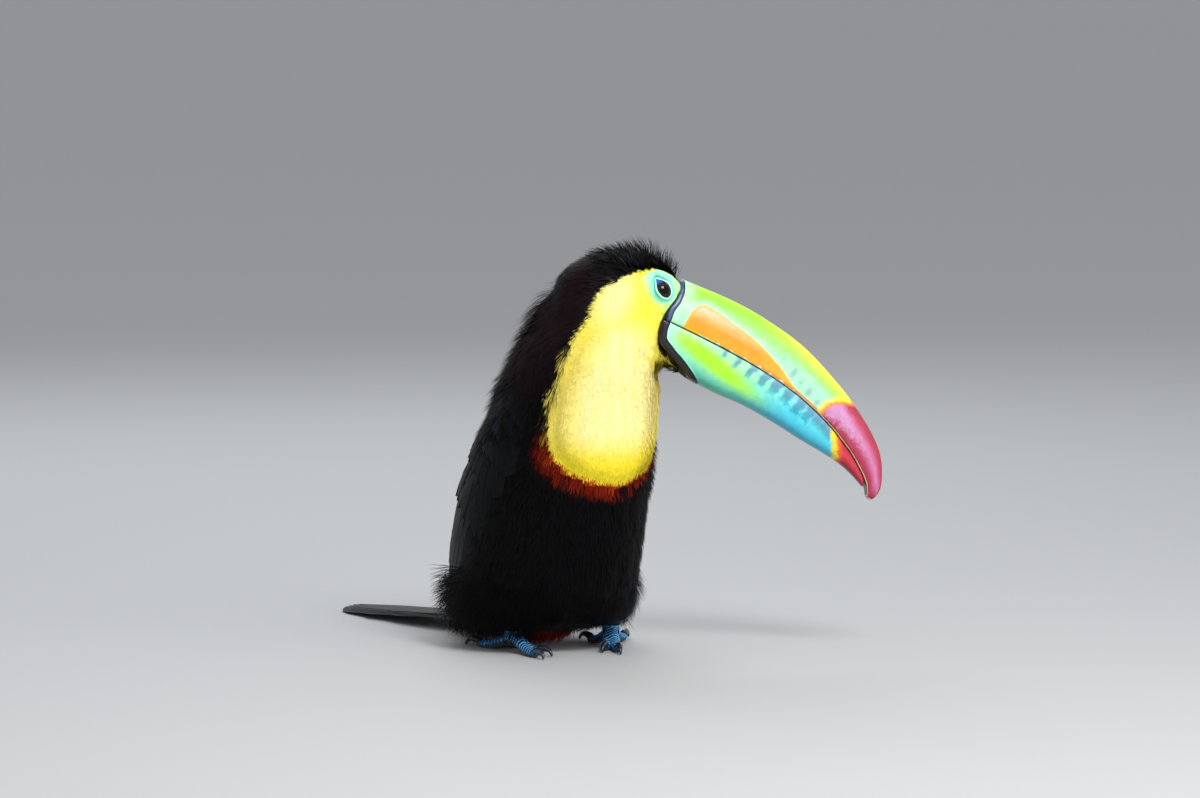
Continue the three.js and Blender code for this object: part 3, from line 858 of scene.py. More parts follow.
def share_up(head, edge, ridge):
    """0 at the cutting edge and 1 at the culmen or keel."""
    shares = np.linspace(0, 1, 200)
    low, high = spline(edge, shares), spline(ridge, shares)
    bottom = np.interp(head[:, 0], low[:, 0], low[:, 1])
    top = np.interp(head[:, 0], high[:, 0], high[:, 1])
    return np.clip((head[:, 2] - bottom) / np.where(np.abs(top - bottom) < 0.5, 0.5, top - bottom), 0, 1)


def mark_horn(thing, edge, ridge, tip, upwards, seed):
    """Carves half of the bill and stores what its colours are placed by."""
    rim, above = carve_bill(thing, edge, upwards, seed)
    head = in_head(corners(thing))
    store(thing, "rim", rim)
    store(thing, "above", above)
    store(thing, "forward", head[:, 0])
    store(thing, "rise", share_up(head, edge, ridge))
    store(thing, "tip", beside(head[:, [0, 2]], tip))
    return head, above


head, above = mark_horn(bill_upper, UPPER_EDGE, CULMEN, UPPER_TIP, 1, 11)
store(bill_upper, "patch", beside(head[:, [0, 2]], PATCH))
smudge = np.full(len(head), NOWHERE)
for x, z, reach in SMUDGES:
    spot = np.hypot((head[:, 0] - x) * 1.6, head[:, 2] - z - 0.5 * (head[:, 0] - x))
    smudge = np.maximum(smudge, reach - spot)
store(bill_upper, "smudge", smudge)
nicks = np.full(len(head), NOWHERE)
for x, reach in NICKS:
    nicks = np.maximum(nicks, reach - np.hypot((head[:, 0] - x) * 0.8, above - 0.3))
store(bill_upper, "nicks", nicks)

horn, tree, shader = new_material("upper_horn")
rise, forward = attribute(tree, "rise"), attribute(tree, "forward")
above, patch = attribute(tree, "above"), attribute(tree, "patch")
rear = ramp_of(tree, rise, [
    (0, "86D4B2"), (0.35, "97E3AE"), (0.6, "93E574"), (0.84, "92E238"), (1, "B6EA3C"),
])
front = ramp_of(tree, rise, [
    (0, "9AD8BE"), (0.45, "9EE3B8"), (0.62, "96E468"), (0.8, "C4EA4A"), (1, "F0E64A"),
])
colour = blend_of(tree, rear, front, between_marks(tree, forward, 38, 84))
colour = stained(tree, colour, plus(tree, patch, 2.4), "A6E3B4", 1.8, 1.6, 0.85)
colour = stained(tree, colour, less(tree, 6.0, forward), "B2E8BE", 4.0, 1.0, 0.8)
orange = ramp_of(tree, math_node(tree, "DIVIDE", above, 16.0), [
    (0.04, "FFB800"), (0.12, "FB9000"), (0.4, "F98E00"), (0.6, "F3A050"), (0.85, "F1B48E"),
    (1, "F1B080"),
])
orange = stained(tree, orange, less(tree, forward, 58.0), "F2A024", 12.0, 1.0)
orange = stained(tree, orange, less(tree, 1.0, patch), "F9A41C", 0.8, 0.9, 0.75)
colour = stained(tree, colour, patch, orange, 0.55, 0.9)
colour = stained(tree, colour, attribute(tree, "smudge"), "7A8FA6", 1.7, 3.4, 0.6)
tan = lesser(tree, less(tree, 1.9, above), less(tree, forward, 52.0))
colour = stained(tree, colour, tan, "E38A2C", 0.35, 0.8, 0.8)
tip = attribute(tree, "tip")
colour = stained(tree, colour, plus(tree, tip, 2.4), "F3C82A", 1.8, 4.0)
colour = stained(tree, colour, plus(tree, tip, 0.4), "EC7A2C", 1.0, 3.4)
# The red darkens towards the cutting edge and the culmen as painted shade, and is pinker in the middle.
crimson = ramp_of(tree, rise, [
    (0, "8E1228"), (0.22, "A03050"), (0.5, "C070A0"), (0.74, "B03C58"), (1, "96141F"),
])
blush = times(tree, math_node(tree, "ABSOLUTE", less(tree, rise, 0.42)), -9.0)
blush = plus(tree, blush, times(tree, less(tree, 112.0, forward), 0.12))
crimson = stained(tree, crimson, plus(tree, blush, 1.0), "C690BE", 1.2, 6.0, 0.7)
colour = stained(tree, colour, less(tree, tip, 1.0), crimson, 1.2, 3.0)
# A thin pale cream line along the upper cutting edge is a painted highlight.
wear_and_edge_highlight = lesser(tree, less(tree, 0.75, above), less(tree, forward, 17.0))
colour = stained(tree, colour, wear_and_edge_highlight, "F6D9B0", 0.2, 0.5, 0.75)
colour = stained(tree, colour, attribute(tree, "nicks"), "FFF6E2", 0.25, 0.4, 0.9)
colour = stained(tree, colour, less(tree, 0.22, above), "6B3A14", 0.1, 0.2, 0.9)
# The black rim is lighter slate-blue along its middle: a painted sheen on the raised band.
rim_sheen_paint = ramp_of(tree, math_node(tree, "DIVIDE", attribute(tree, "rim"), 3.0), [
    (0, "06070B"), (0.1, "0D1220"), (0.22, "2E3B60"), (0.5, "46578A"), (0.7, "3A4470"),
    (0.86, "141A2E"), (1, "06070A"),
])
colour = stained(tree, colour, attribute(tree, "rim"), rim_sheen_paint, 0.16, 0.2)
finish_horn(horn, tree, shader, colour, bill_upper, ["bill_upper"])

head, above = mark_horn(bill_lower, LOWER_EDGE, KEEL, LOWER_TIP, -1, 12)
ahead_of = head[:, 0] - LIME_MIDDLE[0]
store(bill_lower, "lime", 4.6 - np.hypot(ahead_of / 6.0, head[:, 2] - LIME_MIDDLE[1] + 0.22 * ahead_of))
bars = np.full(len(head), NOWHERE)
for i, x in enumerate(BARS):
    length = 3.2 + 4.4 * math.sin(math.pi * min(1, (i + 1) / 9)) + 2.8 * (i > 5)
    width = 1.0 + 1.4 * min(1, i / 4)
    lean = 0.3 * (above - 1.0) + 0.35 * np.sin(above * 1.3 + i)
    thin = 0.75 + 0.05 * above
    bars = np.maximum(bars, np.minimum(width - np.abs(head[:, 0] - x + lean) * thin, (length - above) * 0.5))
store(bill_lower, "bars", bars)
specks = np.minimum(9.0 - np.abs(above - 8.0) * 1.6, (head[:, 0] - 56) * 0.3)
store(bill_lower, "specks", np.minimum(specks, (100 - head[:, 0]) * 0.5) - 7.0)

horn, tree, shader = new_material("lower_horn")
rise, forward = attribute(tree, "rise"), attribute(tree, "forward")
above = attribute(tree, "above")
rear = ramp_of(tree, rise, [
    (0, "A2EBC0"), (0.3, "A9F0A0"), (0.62, "93E8B6"), (0.86, "6FD5BC"), (1, "4FB8A8"),
])
front = ramp_of(tree, rise, [
    (0, "96E0E0"), (0.3, "70D6E2"), (0.6, "4CCCE4"), (0.85, "46C2E2"), (1, "3AB0D6"),
])
colour = blend_of(tree, rear, front, between_marks(tree, forward, 36, 82))
colour = stained(tree, colour, attribute(tree, "lime"), "A4EE30", 2.4, 1.4)
colour = stained(tree, colour, less(tree, 6.5, forward), "A9EFD6", 4.0, 1.0, 0.8)
colour = stained(tree, colour, attribute(tree, "specks"), "18A8C8", 0.6, 14.0, 0.7)
bar_paint = ramp_of(tree, math_node(tree, "DIVIDE", above, 7.0), [
    (0.1, "5A7CA4"), (0.5, "3F7CA0"), (1, "1C8CA6"),
])
colour = stained(tree, colour, attribute(tree, "bars"), bar_paint, 1.1, 2.2, 0.8)
tip = attribute(tree, "tip")
colour = stained(tree, colour, plus(tree, tip, 0.8), "E9D12E", 1.0, 3.6)
colour = stained(tree, colour, less(tree, tip, 2.2), "E4602A", 1.0, 3.0)
crimson = ramp_of(tree, rise, [(0, "A51226"), (0.4, "CE3A50"), (0.75, "C2283A"), (1, "8E0E1C")])
colour = stained(tree, colour, less(tree, tip, 4.2), crimson, 1.4, 1.6)
colour = stained(tree, colour, less(tree, 0.18, above), "5C6A44", 0.1, 0.2, 0.85)
# The lower rim is a little lighter along its middle: a painted sheen.
rim_sheen_paint = ramp_of(tree, math_node(tree, "DIVIDE", attribute(tree, "rim"), 3.4), [
    (0, "050609"), (0.12, "0A0A10"), (0.3, "1E1A28"), (0.5, "2A2534"), (0.7, "17141E"),
    (0.85, "08080C"), (1, "050608"),
])
colour = stained(tree, colour, attribute(tree, "rim"), rim_sheen_paint, 0.16, 0.2)
finish_horn(horn, tree, shader, colour, bill_lower, ["bill_lower"])


# ---- Bare skin round the eyes ----
# Thin naked skin, in folds round a lidded opening that closes on the ball of the eye. It is one
# with the hide, and its outer edge goes under the first feathers.

EYE = np.array([-9.9, 11.5, -12.0])  # the left ball's middle in the head's mm
EYE_RADIUS = 6.3
OPENING = (5.6, 3.4)  # half the opening's length and height
OPENING_TILT = math.radians(-34.5)
OPENING_MIDDLE = (-0.2, 1.5)  # from the ball's middle, forward and up
# The folds, from the opening outwards: [distance, height above the even skin] in mm.
FOLDS = [
    (-0.5, -0.6), (0, -0.05), (0.15, 0.3), (0.45, 0.5), (0.85, 0.42), (1.15, 0.0), (1.5, -0.22),
    (1.95, 0.05), (2.5, 0.26), (3.0, 0.1), (3.3, -0.02), (3.9, 0.14), (4.6, 0.0), (5.4, 0.08),
    (6.4, 0), (40, 0),
]
LID_WHITE = linear("D2FFF2")
CREASE_SHADE_TEAL = linear("1CA092")
MINT = linear("92E2C8")
PALE_MINT = linear("A2E6B2")
PALE_LIME = linear("AEE494")
LIME = linear("C2EA48")
ORBIT_SIZE = (112, 34)  # how many points round the opening, and outwards


def edge_of_bare(angles):
    """How far the bare skin's edge is from the eye's middle in these directions, in mm."""
    line = np.array(BARE_EDGE + BARE_EDGE[:1]) - EYE[[0, 2]]
    ways = np.stack([np.cos(angles), np.sin(angles)], axis=1)
    far = np.zeros(len(angles))
    for start, end in zip(line[:-1], line[1:]):
        along = end - start
        turn = ways[:, 0] * along[1] - ways[:, 1] * along[0]
        turn = np.where(np.abs(turn) < 1e-9, 1e-9, turn)
        reach = (start[0] * along[1] - start[1] * along[0]) / turn
        share = (start[0] * ways[:, 1] - start[1] * ways[:, 0]) / turn
        far = np.maximum(far, np.where((share >= 0) & (share <= 1) & (reach > 0), reach, 0))
    return far


def orbit(side):
    """The folded skin round the left eye (side 1) or the right one (-1)."""
    around, outwards = ORBIT_SIZE
    bpy.ops.object.select_all(action="DESELECT")
    bpy.ops.mesh.primitive_grid_add(x_subdivisions=around, y_subdivisions=outwards, size=2)
    made = bpy.context.object
    made.name = "orbit_left" if side > 0 else "orbit_right"
    grid = corners(made)
    turned, out = (grid[:, 0] + 1) / 2, (grid[:, 1] + 1) / 2

    # The opening's edge, then lines from it out to the edge of the bare skin.
    angle = -side * 2 * math.pi * turned
    length = np.cos(angle)
    pointed = np.where(length < 0, 1.5, 2.4)
    height = (1 - np.abs(length) ** pointed) ** np.where(length < 0, 0.8, 0.55)
    flat = np.stack([OPENING[0] * length, OPENING[1] * np.sign(np.sin(angle)) * height], axis=1)
    c, s = math.cos(OPENING_TILT), math.sin(OPENING_TILT)
    flat = np.stack([flat[:, 0] * c - flat[:, 1] * s, flat[:, 0] * s + flat[:, 1] * c], axis=1)
    flat = flat + np.array(OPENING_MIDDLE)
    angles = np.arctan2(flat[:, 1], flat[:, 0])
    start = np.hypot(flat[:, 0], flat[:, 1])
    reach = edge_of_bare(angles) - start
    beyond = 5 + (np.maximum(reach, 5.5) - 5) * (out - 0.7) / 0.3
    distance = np.where(out < 0.7, -0.5 + 5.5 * out / 0.7, beyond)
    squeezed = np.where(distance > 0, distance * np.minimum(reach / 5.5, 1), distance)
    spot = (start + squeezed)[:, None] * np.stack([np.cos(angles), np.sin(angles)], axis=1)

    # It lies on the ball in the middle and on the head further out, with folds on it.
    ball = (EYE_RADIUS + 0.12) ** 2 - np.sum(spot ** 2, axis=1)
    ball = EYE[1] + np.sqrt(np.maximum(ball, 0.5))
    even = np.empty(len(spot))
    for i, (x, z) in enumerate(spot + EYE[[0, 2]]):
        start_point = Vector(from_head((x, side * 30, z)))
        struck = walls.ray_cast(start_point, Vector(head_axes @ np.array((0, -side, 0.0))))
        even[i] = side * in_head(np.array(struck[0]))[1] if struck[0] is not None else 15.5
    share = ease(distance, 0.3, 3.8)
    y = ball + (even - 0.35 - ball) * share
    folds = np.array(FOLDS)
    y = y + np.interp(distance, folds[:, 0], folds[:, 1])
    lidded = np.maximum(y, ball + 0.2 + 0.3 * ease(distance, 2.5, 0.4))
    y = np.where((distance > 0.1) & (np.sum(spot ** 2, axis=1) < 5.9 ** 2), lidded, y)
    y = y - (0.5 + 2.1 * ease(np.cos(angles), 0.1, 0.6)) * ease(out, 0.84, 1)
    set_corners(made, from_head(np.stack([spot[:, 0] + EYE[0], side * y, spot[:, 1] + EYE[2]], axis=1)))

    colours = mix(np.tile(MINT, (len(out), 1)), PALE_MINT, ease(distance, 1.9, 4.4))
    ahead = ease(np.cos(angles), 0.1, 0.8)
    top_edge = ease(out, 0.9, 0.95) * ease(np.sin(angles), 0.1, 0.4)
    colours = mix(colours, PALE_LIME, ahead * ease(distance, 1.8, 3.6))
    below = ease(np.cos(angles + 1.9), 0.1, 0.8)
    colours = mix(colours, LIME, 0.8 * below * ease(distance, 2.8, 4.6))
    # Teal along the grooves of the folds is painted shade in the creases, strongest above and behind the
    # eye.
    groove = ease(np.abs(distance - 1.3), 0.45, 0.1)
    upper_or_rear = np.maximum(ease(np.cos(angles - 2.0), -0.2, 0.5), ease(np.cos(angles + 2.4), 0.2, 0.8))
    colours = mix(colours, CREASE_SHADE_TEAL, groove * (0.35 + 0.6 * upper_or_rear))
    # A fainter painted shade in the outer groove, away from the front.
    groove = ease(np.abs(distance - 3.2), 0.6, 0.1)
    colours = mix(colours, CREASE_SHADE_TEAL, 0.25 * groove * (1 - ahead))
    colours = mix(colours, LID_WHITE, ease(distance, 0.95, 0.7))
    colours = mix(colours, linear("16201C"), ease(distance, 0.12, -0.05))
    hind_edge = 0.95 * ease(out, 0.66, 0.9) * (1 - ahead) * ease(np.sin(angles), 0.3, -0.1)
    paint_points(made, "plumage", mix(colours, LIME_YELLOW, np.maximum(top_edge, hind_edge)))
    store(made, "fold", distance)
    merge_points(0.003)
    bpy.ops.object.shade_smooth()
    made.data.materials.append(orbit_paint)
    return made


orbit_paint, tree, shader = new_material("bare_skin")
mottle = noise(tree, 900.0, 4.0)
mottled = ramp_of(tree, mottle, [(0.3, "DDF0EC"), (0.65, "FFFFFF")])
tree.links.new(multiplied(tree, painted(tree), mottled), shader.inputs["Base Color"])
creases = times(tree, attribute(tree, "fold"), 9.0)
creases = plus(tree, creases, times(tree, mottle, 2.6))
creases = times(tree, math_node(tree, "SINE", creases), 0.3)
dent(tree, shader, plus(tree, creases, mottle), 0.6, 0.12)
shader.inputs["Roughness"].default_value = 0.45
shader.inputs["Specular IOR Level"].default_value = 0.35

orbits = [orbit(1), orbit(-1)]


# ---- Feet ----
# Scaly hide over the legs and toes, horny plates across the top of each toe and soft pads below,
# all one with the rest of the skin. Two toes point forward and two back.

# Each foot: (side, middle to the left and back, turn). Each toe: (turn, length). Mm and degrees.
FEET = [(1, 27, -6, -30), (-1, -29, 1, -4)]
TOES = [(5, 34), (-10, 26), (163, 29), (-148, 23)]
FOOT_VOXEL = 0.5 * MM
SCUTE_PITCH = 2.6  # mm from one plate to the next
FOOT_BLUE = linear("0A78BE")
FOOT_DEEP = linear("06406E")
SOLE_GREY = linear("545B50")

foot_nodes = [n for n in frame["nodes"] if n.startswith(("leg_", "toe_"))]
feet = copy_of_nodes("feet_skin", sorted(foot_nodes))
apply_modifier(feet, "REMESH", mode="VOXEL", voxel_size=FOOT_VOXEL)
apply_modifier(feet, "SMOOTH", factor=0.6, iterations=8)
places, away = corners(feet), normals(feet)
body = in_body(places)
nearest = np.full(len(body), 99.0)
ring, on_toe, over = np.zeros(len(body)), np.zeros(len(body)), np.zeros(len(body))
for number, (foot_side, x, y, turn) in enumerate(FEET):
    for toe_turn, length in TOES:
        a = math.radians(turn - 90 + toe_turn * foot_side)
        along = (body[:, 0] - x) * math.cos(a) + (body[:, 1] - y) * math.sin(a)
        aside = (body[:, 1] - y) * math.cos(a) - (body[:, 0] - x) * math.sin(a)
        gap = np.abs(aside) + 3 * np.maximum(0, 3 - along) + 3 * np.maximum(0, along - length - 4)
        here = gap < nearest
        nearest = np.where(here, gap, nearest)
        ring = np.where(here, along / SCUTE_PITCH + number, ring)
        on_toe = np.where(here, ease(along, 2, 6), on_toe)
        middle = np.interp(along, [0, 0.3 * length, 0.6 * length, length], [7, 4.6, 2.2, 1.8])
        over = np.where(here, np.degrees(np.arctan2(body[:, 2] - middle, np.abs(aside))), over)
shank = (1 - on_toe) * ease(body[:, 2], 7, 11)
ring = np.where(shank > 0.5, body[:, 2] / 3.0, ring)
top = np.where(shank > 0.5, 1.0, ease(over, -25, 10))
sole = (1 - shank) * ease(away[:, 2], -0.1, -0.6)
share = ring - np.floor(ring)
plate = 1 - np.abs(2 * share - 1) ** 3
lumps = np.sin(body[:, 0] * 3.1) * np.sin(body[:, 1] * 3.3) * np.sin(body[:, 2] * 3.0)
set_corners(feet, places + away * ((0.55 * plate * top + 0.2 * lumps * (1 - top)) * MM)[:, None])
colours = mix(np.tile(FOOT_BLUE, (len(body), 1)), FOOT_DEEP, ease(over, 20, -30) * (1 - shank))
colours = mix(colours, SOLE_GREY, np.maximum(sole, 0.7 * ease(over, -20, -60) * (1 - shank)))
paint_points(feet, "plumage", colours)
store(feet, "ring", ring)
store(feet, "top", top)

foot_paint, tree, shader = new_material("foot_scales")
mottle = noise(tree, 500.0, 5.0)
place = node(tree, "ShaderNodeTexCoord")
scales = node(tree, "ShaderNodeTexVoronoi", feature="DISTANCE_TO_EDGE", inputs={"Scale": 850.0})
tree.links.new(place.outputs["Object"], scales.inputs["Vector"])
bent = times(tree, mottle, 0.3)
phase = math_node(tree, "FRACT", plus(tree, attribute(tree, "ring"), bent))
from_middle = math_node(tree, "ABSOLUTE", less(tree, phase, 0.5))
from_seam = less(tree, 0.5, from_middle)
plates = between_marks(tree, from_seam, 0.0, 0.16)
small = between_marks(tree, scales.outputs["Distance"], 0.0, 0.25)
surface = node(tree, "ShaderNodeMix")
tree.links.new(attribute(tree, "top"), surface.inputs["Factor"])
tree.links.new(small, surface.inputs["A"])
tree.links.new(plates, surface.inputs["B"])
mottled = ramp_of(tree, mottle, [(0.3, "B4C4CC"), (0.65, "FFFFFF")])
scaly = multiplied(tree, painted(tree), mottled)
on_top = less(tree, attribute(tree, "top"), 0.5)
seam = lesser(tree, on_top, less(tree, 0.17, from_seam))
# A pale rim on each plate: partly its own paler edge, partly a painted highlight.
from_pale_rim = math_node(tree, "ABSOLUTE", less(tree, phase, 0.7))
pale_lit_rim = lesser(tree, on_top, less(tree, 0.1, from_pale_rim))
scaly = stained(tree, scaly, pale_lit_rim, "7EC6EE", 0.1, 0.25, 0.8)
scaly = stained(tree, scaly, seam, "031A34", 0.1, 0.1, 0.95)
tree.links.new(scaly, shader.inputs["Base Color"])
relief = plus(tree, surface.outputs["Result"], times(tree, mottle, 0.5))
dent(tree, shader, relief, 0.8, 0.5)
shader.inputs["Roughness"].default_value = 0.45
shader.inputs["Specular IOR Level"].default_value = 0.3
only(feet)
bpy.ops.object.shade_smooth()
feet.data.materials.append(foot_paint)

bpy.ops.object.select_all(action="DESELECT")
for each in (skin, feet, *orbits):
    each.select_set(True)
bpy.context.view_layer.objects.active = skin
bpy.ops.object.join()
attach(skin, "root")
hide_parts(*FLESH, *foot_nodes)

# The claws: solid black horn, hooked and polished by use.
claw_nodes = sorted(n for n in frame["nodes"] if n.startswith("claw_"))
claws = copy_of_nodes("claws", claw_nodes)
apply_modifier(claws, "SUBSURF", levels=1)
apply_modifier(claws, "DISPLACE", strength=0.3 * MM, mid_level=0)
bpy.ops.object.shade_smooth()
claw_horn, tree, shader = new_material("claw_horn")
streaks = noise(tree, 600.0, 4.0)
black_horn = ramp_of(tree, streaks, [(0.3, "101318"), (0.7, "2A313B")])
tree.links.new(black_horn, shader.inputs["Base Color"])
dent(tree, shader, streaks, 0.2, 0.1)
shader.inputs["Roughness"].default_value = 0.22
claws.data.materials.append(claw_horn)
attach(claws, "root")
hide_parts(*claw_nodes)


# ---- Eyes ----
# Moist balls, each with a dark brown iris round a wide pupil, under a clear bulging front.

PUPIL = 2.35  # mm from its middle to its edge
IRIS = 4.6

wet, tree, shader = new_material("wet_eye")
fibres = noise(tree, 1600.0, 3.0)
iris = ramp_of(tree, fibres, [(0.25, "0E0A04"), (0.5, "20180A"), (0.75, "38300F")])
out = attribute(tree, "from_gaze")
iris = stained(tree, iris, less(tree, out, IRIS - 0.5), "0B0A08", 0.5, 0.2)
iris = stained(tree, iris, less(tree, PUPIL, out), "010102", 0.14, 0.1)
iris = stained(tree, iris, attribute(tree, "corner"), "2C4CA6", 0.5, 0.3)
tree.links.new(iris, shader.inputs["Base Color"])
shader.inputs["Roughness"].default_value = 0.12
shader.inputs["Coat Weight"].default_value = 1.0
shader.inputs["Coat Roughness"].default_value = 0.02
shader.inputs["Coat IOR"].default_value = 1.36
shader.inputs["Specular IOR Level"].default_value = 0.0

for side, label in ((1, "left"), (-1, "right")):
    bpy.ops.object.select_all(action="DESELECT")
    bpy.ops.mesh.primitive_uv_sphere_add(segments=64, ring_count=48, radius=1)
    ball = bpy.context.object
    ball.name = "eyeball_" + label
    ball.data.name = ball.name
    round_points = corners(ball)
    gaze = unit(np.array((0.12, side, 0.1)))
    turned = np.array(Vector((0, 0, 1)).rotation_difference(Vector(gaze)).to_matrix())
    ahead = round_points[:, 2]
    bulge = 1 + 0.02 * ease(ahead, 0.72, 0.95)
    middle = EYE * np.array((1, side, 1))
    spots = (round_points * bulge[:, None]) @ turned.T * EYE_RADIUS + middle
    set_corners(ball, from_head(spots))
    store(ball, "from_gaze", np.arccos(np.clip(ahead, -1, 1)) * EYE_RADIUS)
    away = (spots - middle)[:, [0, 2]] - np.array(OPENING_MIDDLE)
    store(ball, "corner", -away @ np.array((math.cos(OPENING_TILT), math.sin(OPENING_TILT))) - 2.9)
    bpy.ops.object.shade_smooth()
    ball.data.materials.append(wet)
    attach(ball, "root")
    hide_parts("eye_" + label)


# ---- Coat ----
# Soft contour feathers, each a fan of barbs from one root. They lie back and down over the body
# from the bill, one over the next like thatch, and give the bird its outline.

# The lie of the coat: [frame, place in mm, way it points], with places off the middle mirrored.
LIE = [
    ("head", (-2, 0, 2), (-1, 0, 0.5)),
    ("head", (-25, 0, 6), (-1, 0, 0)),
    ("head", (-48, 0, -4), (-1, 0, -0.6)),
    ("head", (-3, 15, -10), (-1, 0, 0.1)),
    ("head", (-24, 19, -8), (-1, 0, 0)),
    ("head", (-12, 17, -30), (-0.8, 0, -0.6)),
    ("head", (-32, 19, -25), (-0.9, 0, -0.5)),
    ("head", (0, 14, -32), (-0.7, 0, -0.7)),
    ("head", (14, 0, -46), (-0.7, 0, -0.7)),
    ("head", (-4, 0, -56), (-0.3, 0, -1)),
    ("body", (13, -62, 140), (0, 0, -1)),
    ("body", (0, -55, 100), (0, 0.1, -1)),
    ("body", (0, -45, 50), (0, 0.2, -1)),
    ("body", (0, -28, 10), (0, 0.7, -0.8)),
    ("body", (0, 10, 5), (0, 1, -0.1)),
    ("body", (0, 42, 12), (0, 1, -0.2)),
    ("body", (0, 5, 186), (0, 0.3, -1)),
    ("body", (0, 27, 150), (0, 0.35, -1)),
    ("body", (0, 45, 100), (0, 0.35, -1)),
    ("body", (0, 60, 60), (0, 0.6, -1)),
    ("body", (0, 86, 30), (0, 1, -0.6)),
    ("body", (0, 105, 12), (0, 1, -0.2)),
    ("body", (30, -30, 150), (0, 0.15, -1)),
    ("body", (46, -5, 90), (0, 0.25, -1)),
    ("body", (46, 5, 45), (0, 0.3, -1)),
    ("body", (38, 0, 14), (0, 0.2, -1)),
    ("body", (42, -18, 130), (0, 0.45, -1)),
    ("body", (48, 26, 84), (0, 0.7, -1)),
    ("body", (40, 55, 50), (-0.3, 0.85, -0.7)),
    ("body", (16, 90, 24), (-0.35, 0.9, -0.45)),
]


def lie_at(points, away):
    """Which way the coat points along the skin at these places."""
    total = np.zeros((len(points), 3))
    for kind, place, way in LIE:
        on_head = kind == "head"
        sideways = place[1] if on_head else place[0]
        for side in ((1, -1) if sideways else (1,)):
            mirror = np.array((1, side, 1) if on_head else (side, 1, 1), float)
            spot, course = np.array(place) * mirror, unit(np.array(way, float)) * mirror
            if on_head:
                spot, course = from_head(spot), head_axes @ course
            else:
                spot = from_body(spot)
            gap = np.linalg.norm(points - spot, axis=1) / MM
            total += course / (gap[:, None] ** 3 + 300)
    total -= away * np.sum(total * away, axis=1, keepdims=True)
    return unit(total)


skin_lie = unit(even_out(lie_at(roots, facing), skin_edges, 6))
skin_tree = kdtree.KDTree(len(roots))
for i, place in enumerate(roots):
    skin_tree.insert(place, i)
skin_tree.balance()
skin_body, skin_head = in_body(roots), in_head(roots)
skin_bib = inside_bib(roots)


SEARCH_CELL = 0.5 * MM  # points that lie in one cell of this size share a search


def nearest_skin(points):
    """The number of the skin vertex nearest to each point."""
    cells, which = np.unique(np.round(points / SEARCH_CELL).astype(int), axis=0, return_inverse=True)
    found = np.array([skin_tree.find(cell)[1] for cell in cells * SEARCH_CELL])
    return found[which.ravel()]


def sow(weights, per_mm2, chance):
    """Roots on the skin, spread by area and by a weight for each vertex: places and outward ways."""
    a, b, c = (roots[skin_faces[:, i]] for i in range(3))
    area = np.linalg.norm(np.cross(b - a, c - a), axis=1) / 2 / MM ** 2
    share = area * weights[skin_faces].mean(axis=1)
    total = np.cumsum(share)
    count = int(total[-1] * per_mm2)
    picks = (np.arange(count) + chance.uniform(size=count)) / count * total[-1]
    face = np.minimum(np.searchsorted(total, picks), len(total) - 1)
    u, v = chance.uniform(size=(2, count))
    over = u + v > 1
    u, v = np.where(over, 1 - u, u), np.where(over, 1 - v, v)
    parts = np.stack([1 - u - v, u, v], axis=1)[:, :, None]
    places = (roots[skin_faces[face]] * parts).sum(axis=1)
    return places, unit((facing[skin_faces[face]] * parts).sum(axis=1))


def follow(places, away, course, length, steps, loose):
    """Lines over the skin from these roots: points, ways and outward directions at each step."""
    spine, ways, outs = [places], [course], [away]
    for _ in range(steps):
        ahead = spine[-1] + ways[-1] * (length / steps)[:, None]
        number = nearest_skin(ahead)
        out = facing[number]
        height = np.sum((ahead - roots[number]) * out, axis=1, keepdims=True)
        way = unit(ways[-1] * 0.75 + skin_lie[number] * 0.25)
        way = way - out * np.sum(way * out, axis=1, keepdims=True) * (1 - loose[:, None])
        spine.append(ahead - out * height * (1 - loose[:, None]))
        ways.append(unit(way))
        outs.append(out)
    return [np.stack(part, axis=1) for part in (spine, ways, outs)]


def sheets(name, points, facings, tones, uv, paint):
    """One mesh of many small sheets. Each array is (sheets, rows, columns, ...)."""
    count, rows, columns = points.shape[:3]
    grid = np.arange(rows * columns).reshape(rows, columns)
    quads = np.stack([grid[:-1, :-1], grid[1:, :-1], grid[1:, 1:], grid[:-1, 1:]], axis=-1)
    faces = (np.arange(count)[:, None, None] * rows * columns + quads.reshape(1, -1, 4)).reshape(-1, 4)
    mesh = bpy.data.meshes.new(name)
    mesh.vertices.add(count * rows * columns)
    mesh.vertices.foreach_set("co", points.astype(np.float32).ravel())
    mesh.loops.add(faces.size)
    mesh.loops.foreach_set("vertex_index", faces.astype(np.int32).ravel())
    mesh.polygons.add(len(faces))
    mesh.polygons.foreach_set("loop_start", np.arange(0, faces.size, 4, dtype=np.int32))
    mesh.update(calc_edges=True)
    piece = bpy.data.objects.new(name, mesh)
    bpy.context.collection.objects.link(piece)
    only(piece)
    bpy.ops.object.shade_smooth()
    mesh.normals_split_custom_set_from_vertices(facings.reshape(-1, 3).astype(np.float32))
    paint_points(piece, "plumage", np.broadcast_to(tones, points.shape).reshape(-1, 3))
    layer = mesh.uv_layers.new(name="OFBake")
    layer.data.foreach_set("uv", uv.reshape(-1, 2)[faces.ravel()].astype(np.float32).ravel())
    mesh.materials.append(paint)
    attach(piece, "root")
    return piece


PATCH_SIZE = 0.003  # how much of the unwrap one feather covers
ROOT_DEPTH = 0.3 * MM  # how far a feather's root lies under the skin
FLOOR_GAP = 0.3 * MM  # how near the floor a feather may come


def patches(flat, first, last, rows, columns):
    """Where each sheet lies on the unwrap: first and last are its share of its feather's patch."""
    u = first[..., None] + (last - first)[..., None] * np.linspace(0, 1, columns)
    u = flat[:, 0, None, None, None] + PATCH_SIZE * (u[:, :, None, :] - 0.5)
    v = flat[:, 1, None, None, None] + PATCH_SIZE * (np.linspace(0, 1, rows)[:, None] - 0.5)
    return np.stack(np.broadcast_arrays(u, v), axis=-1)


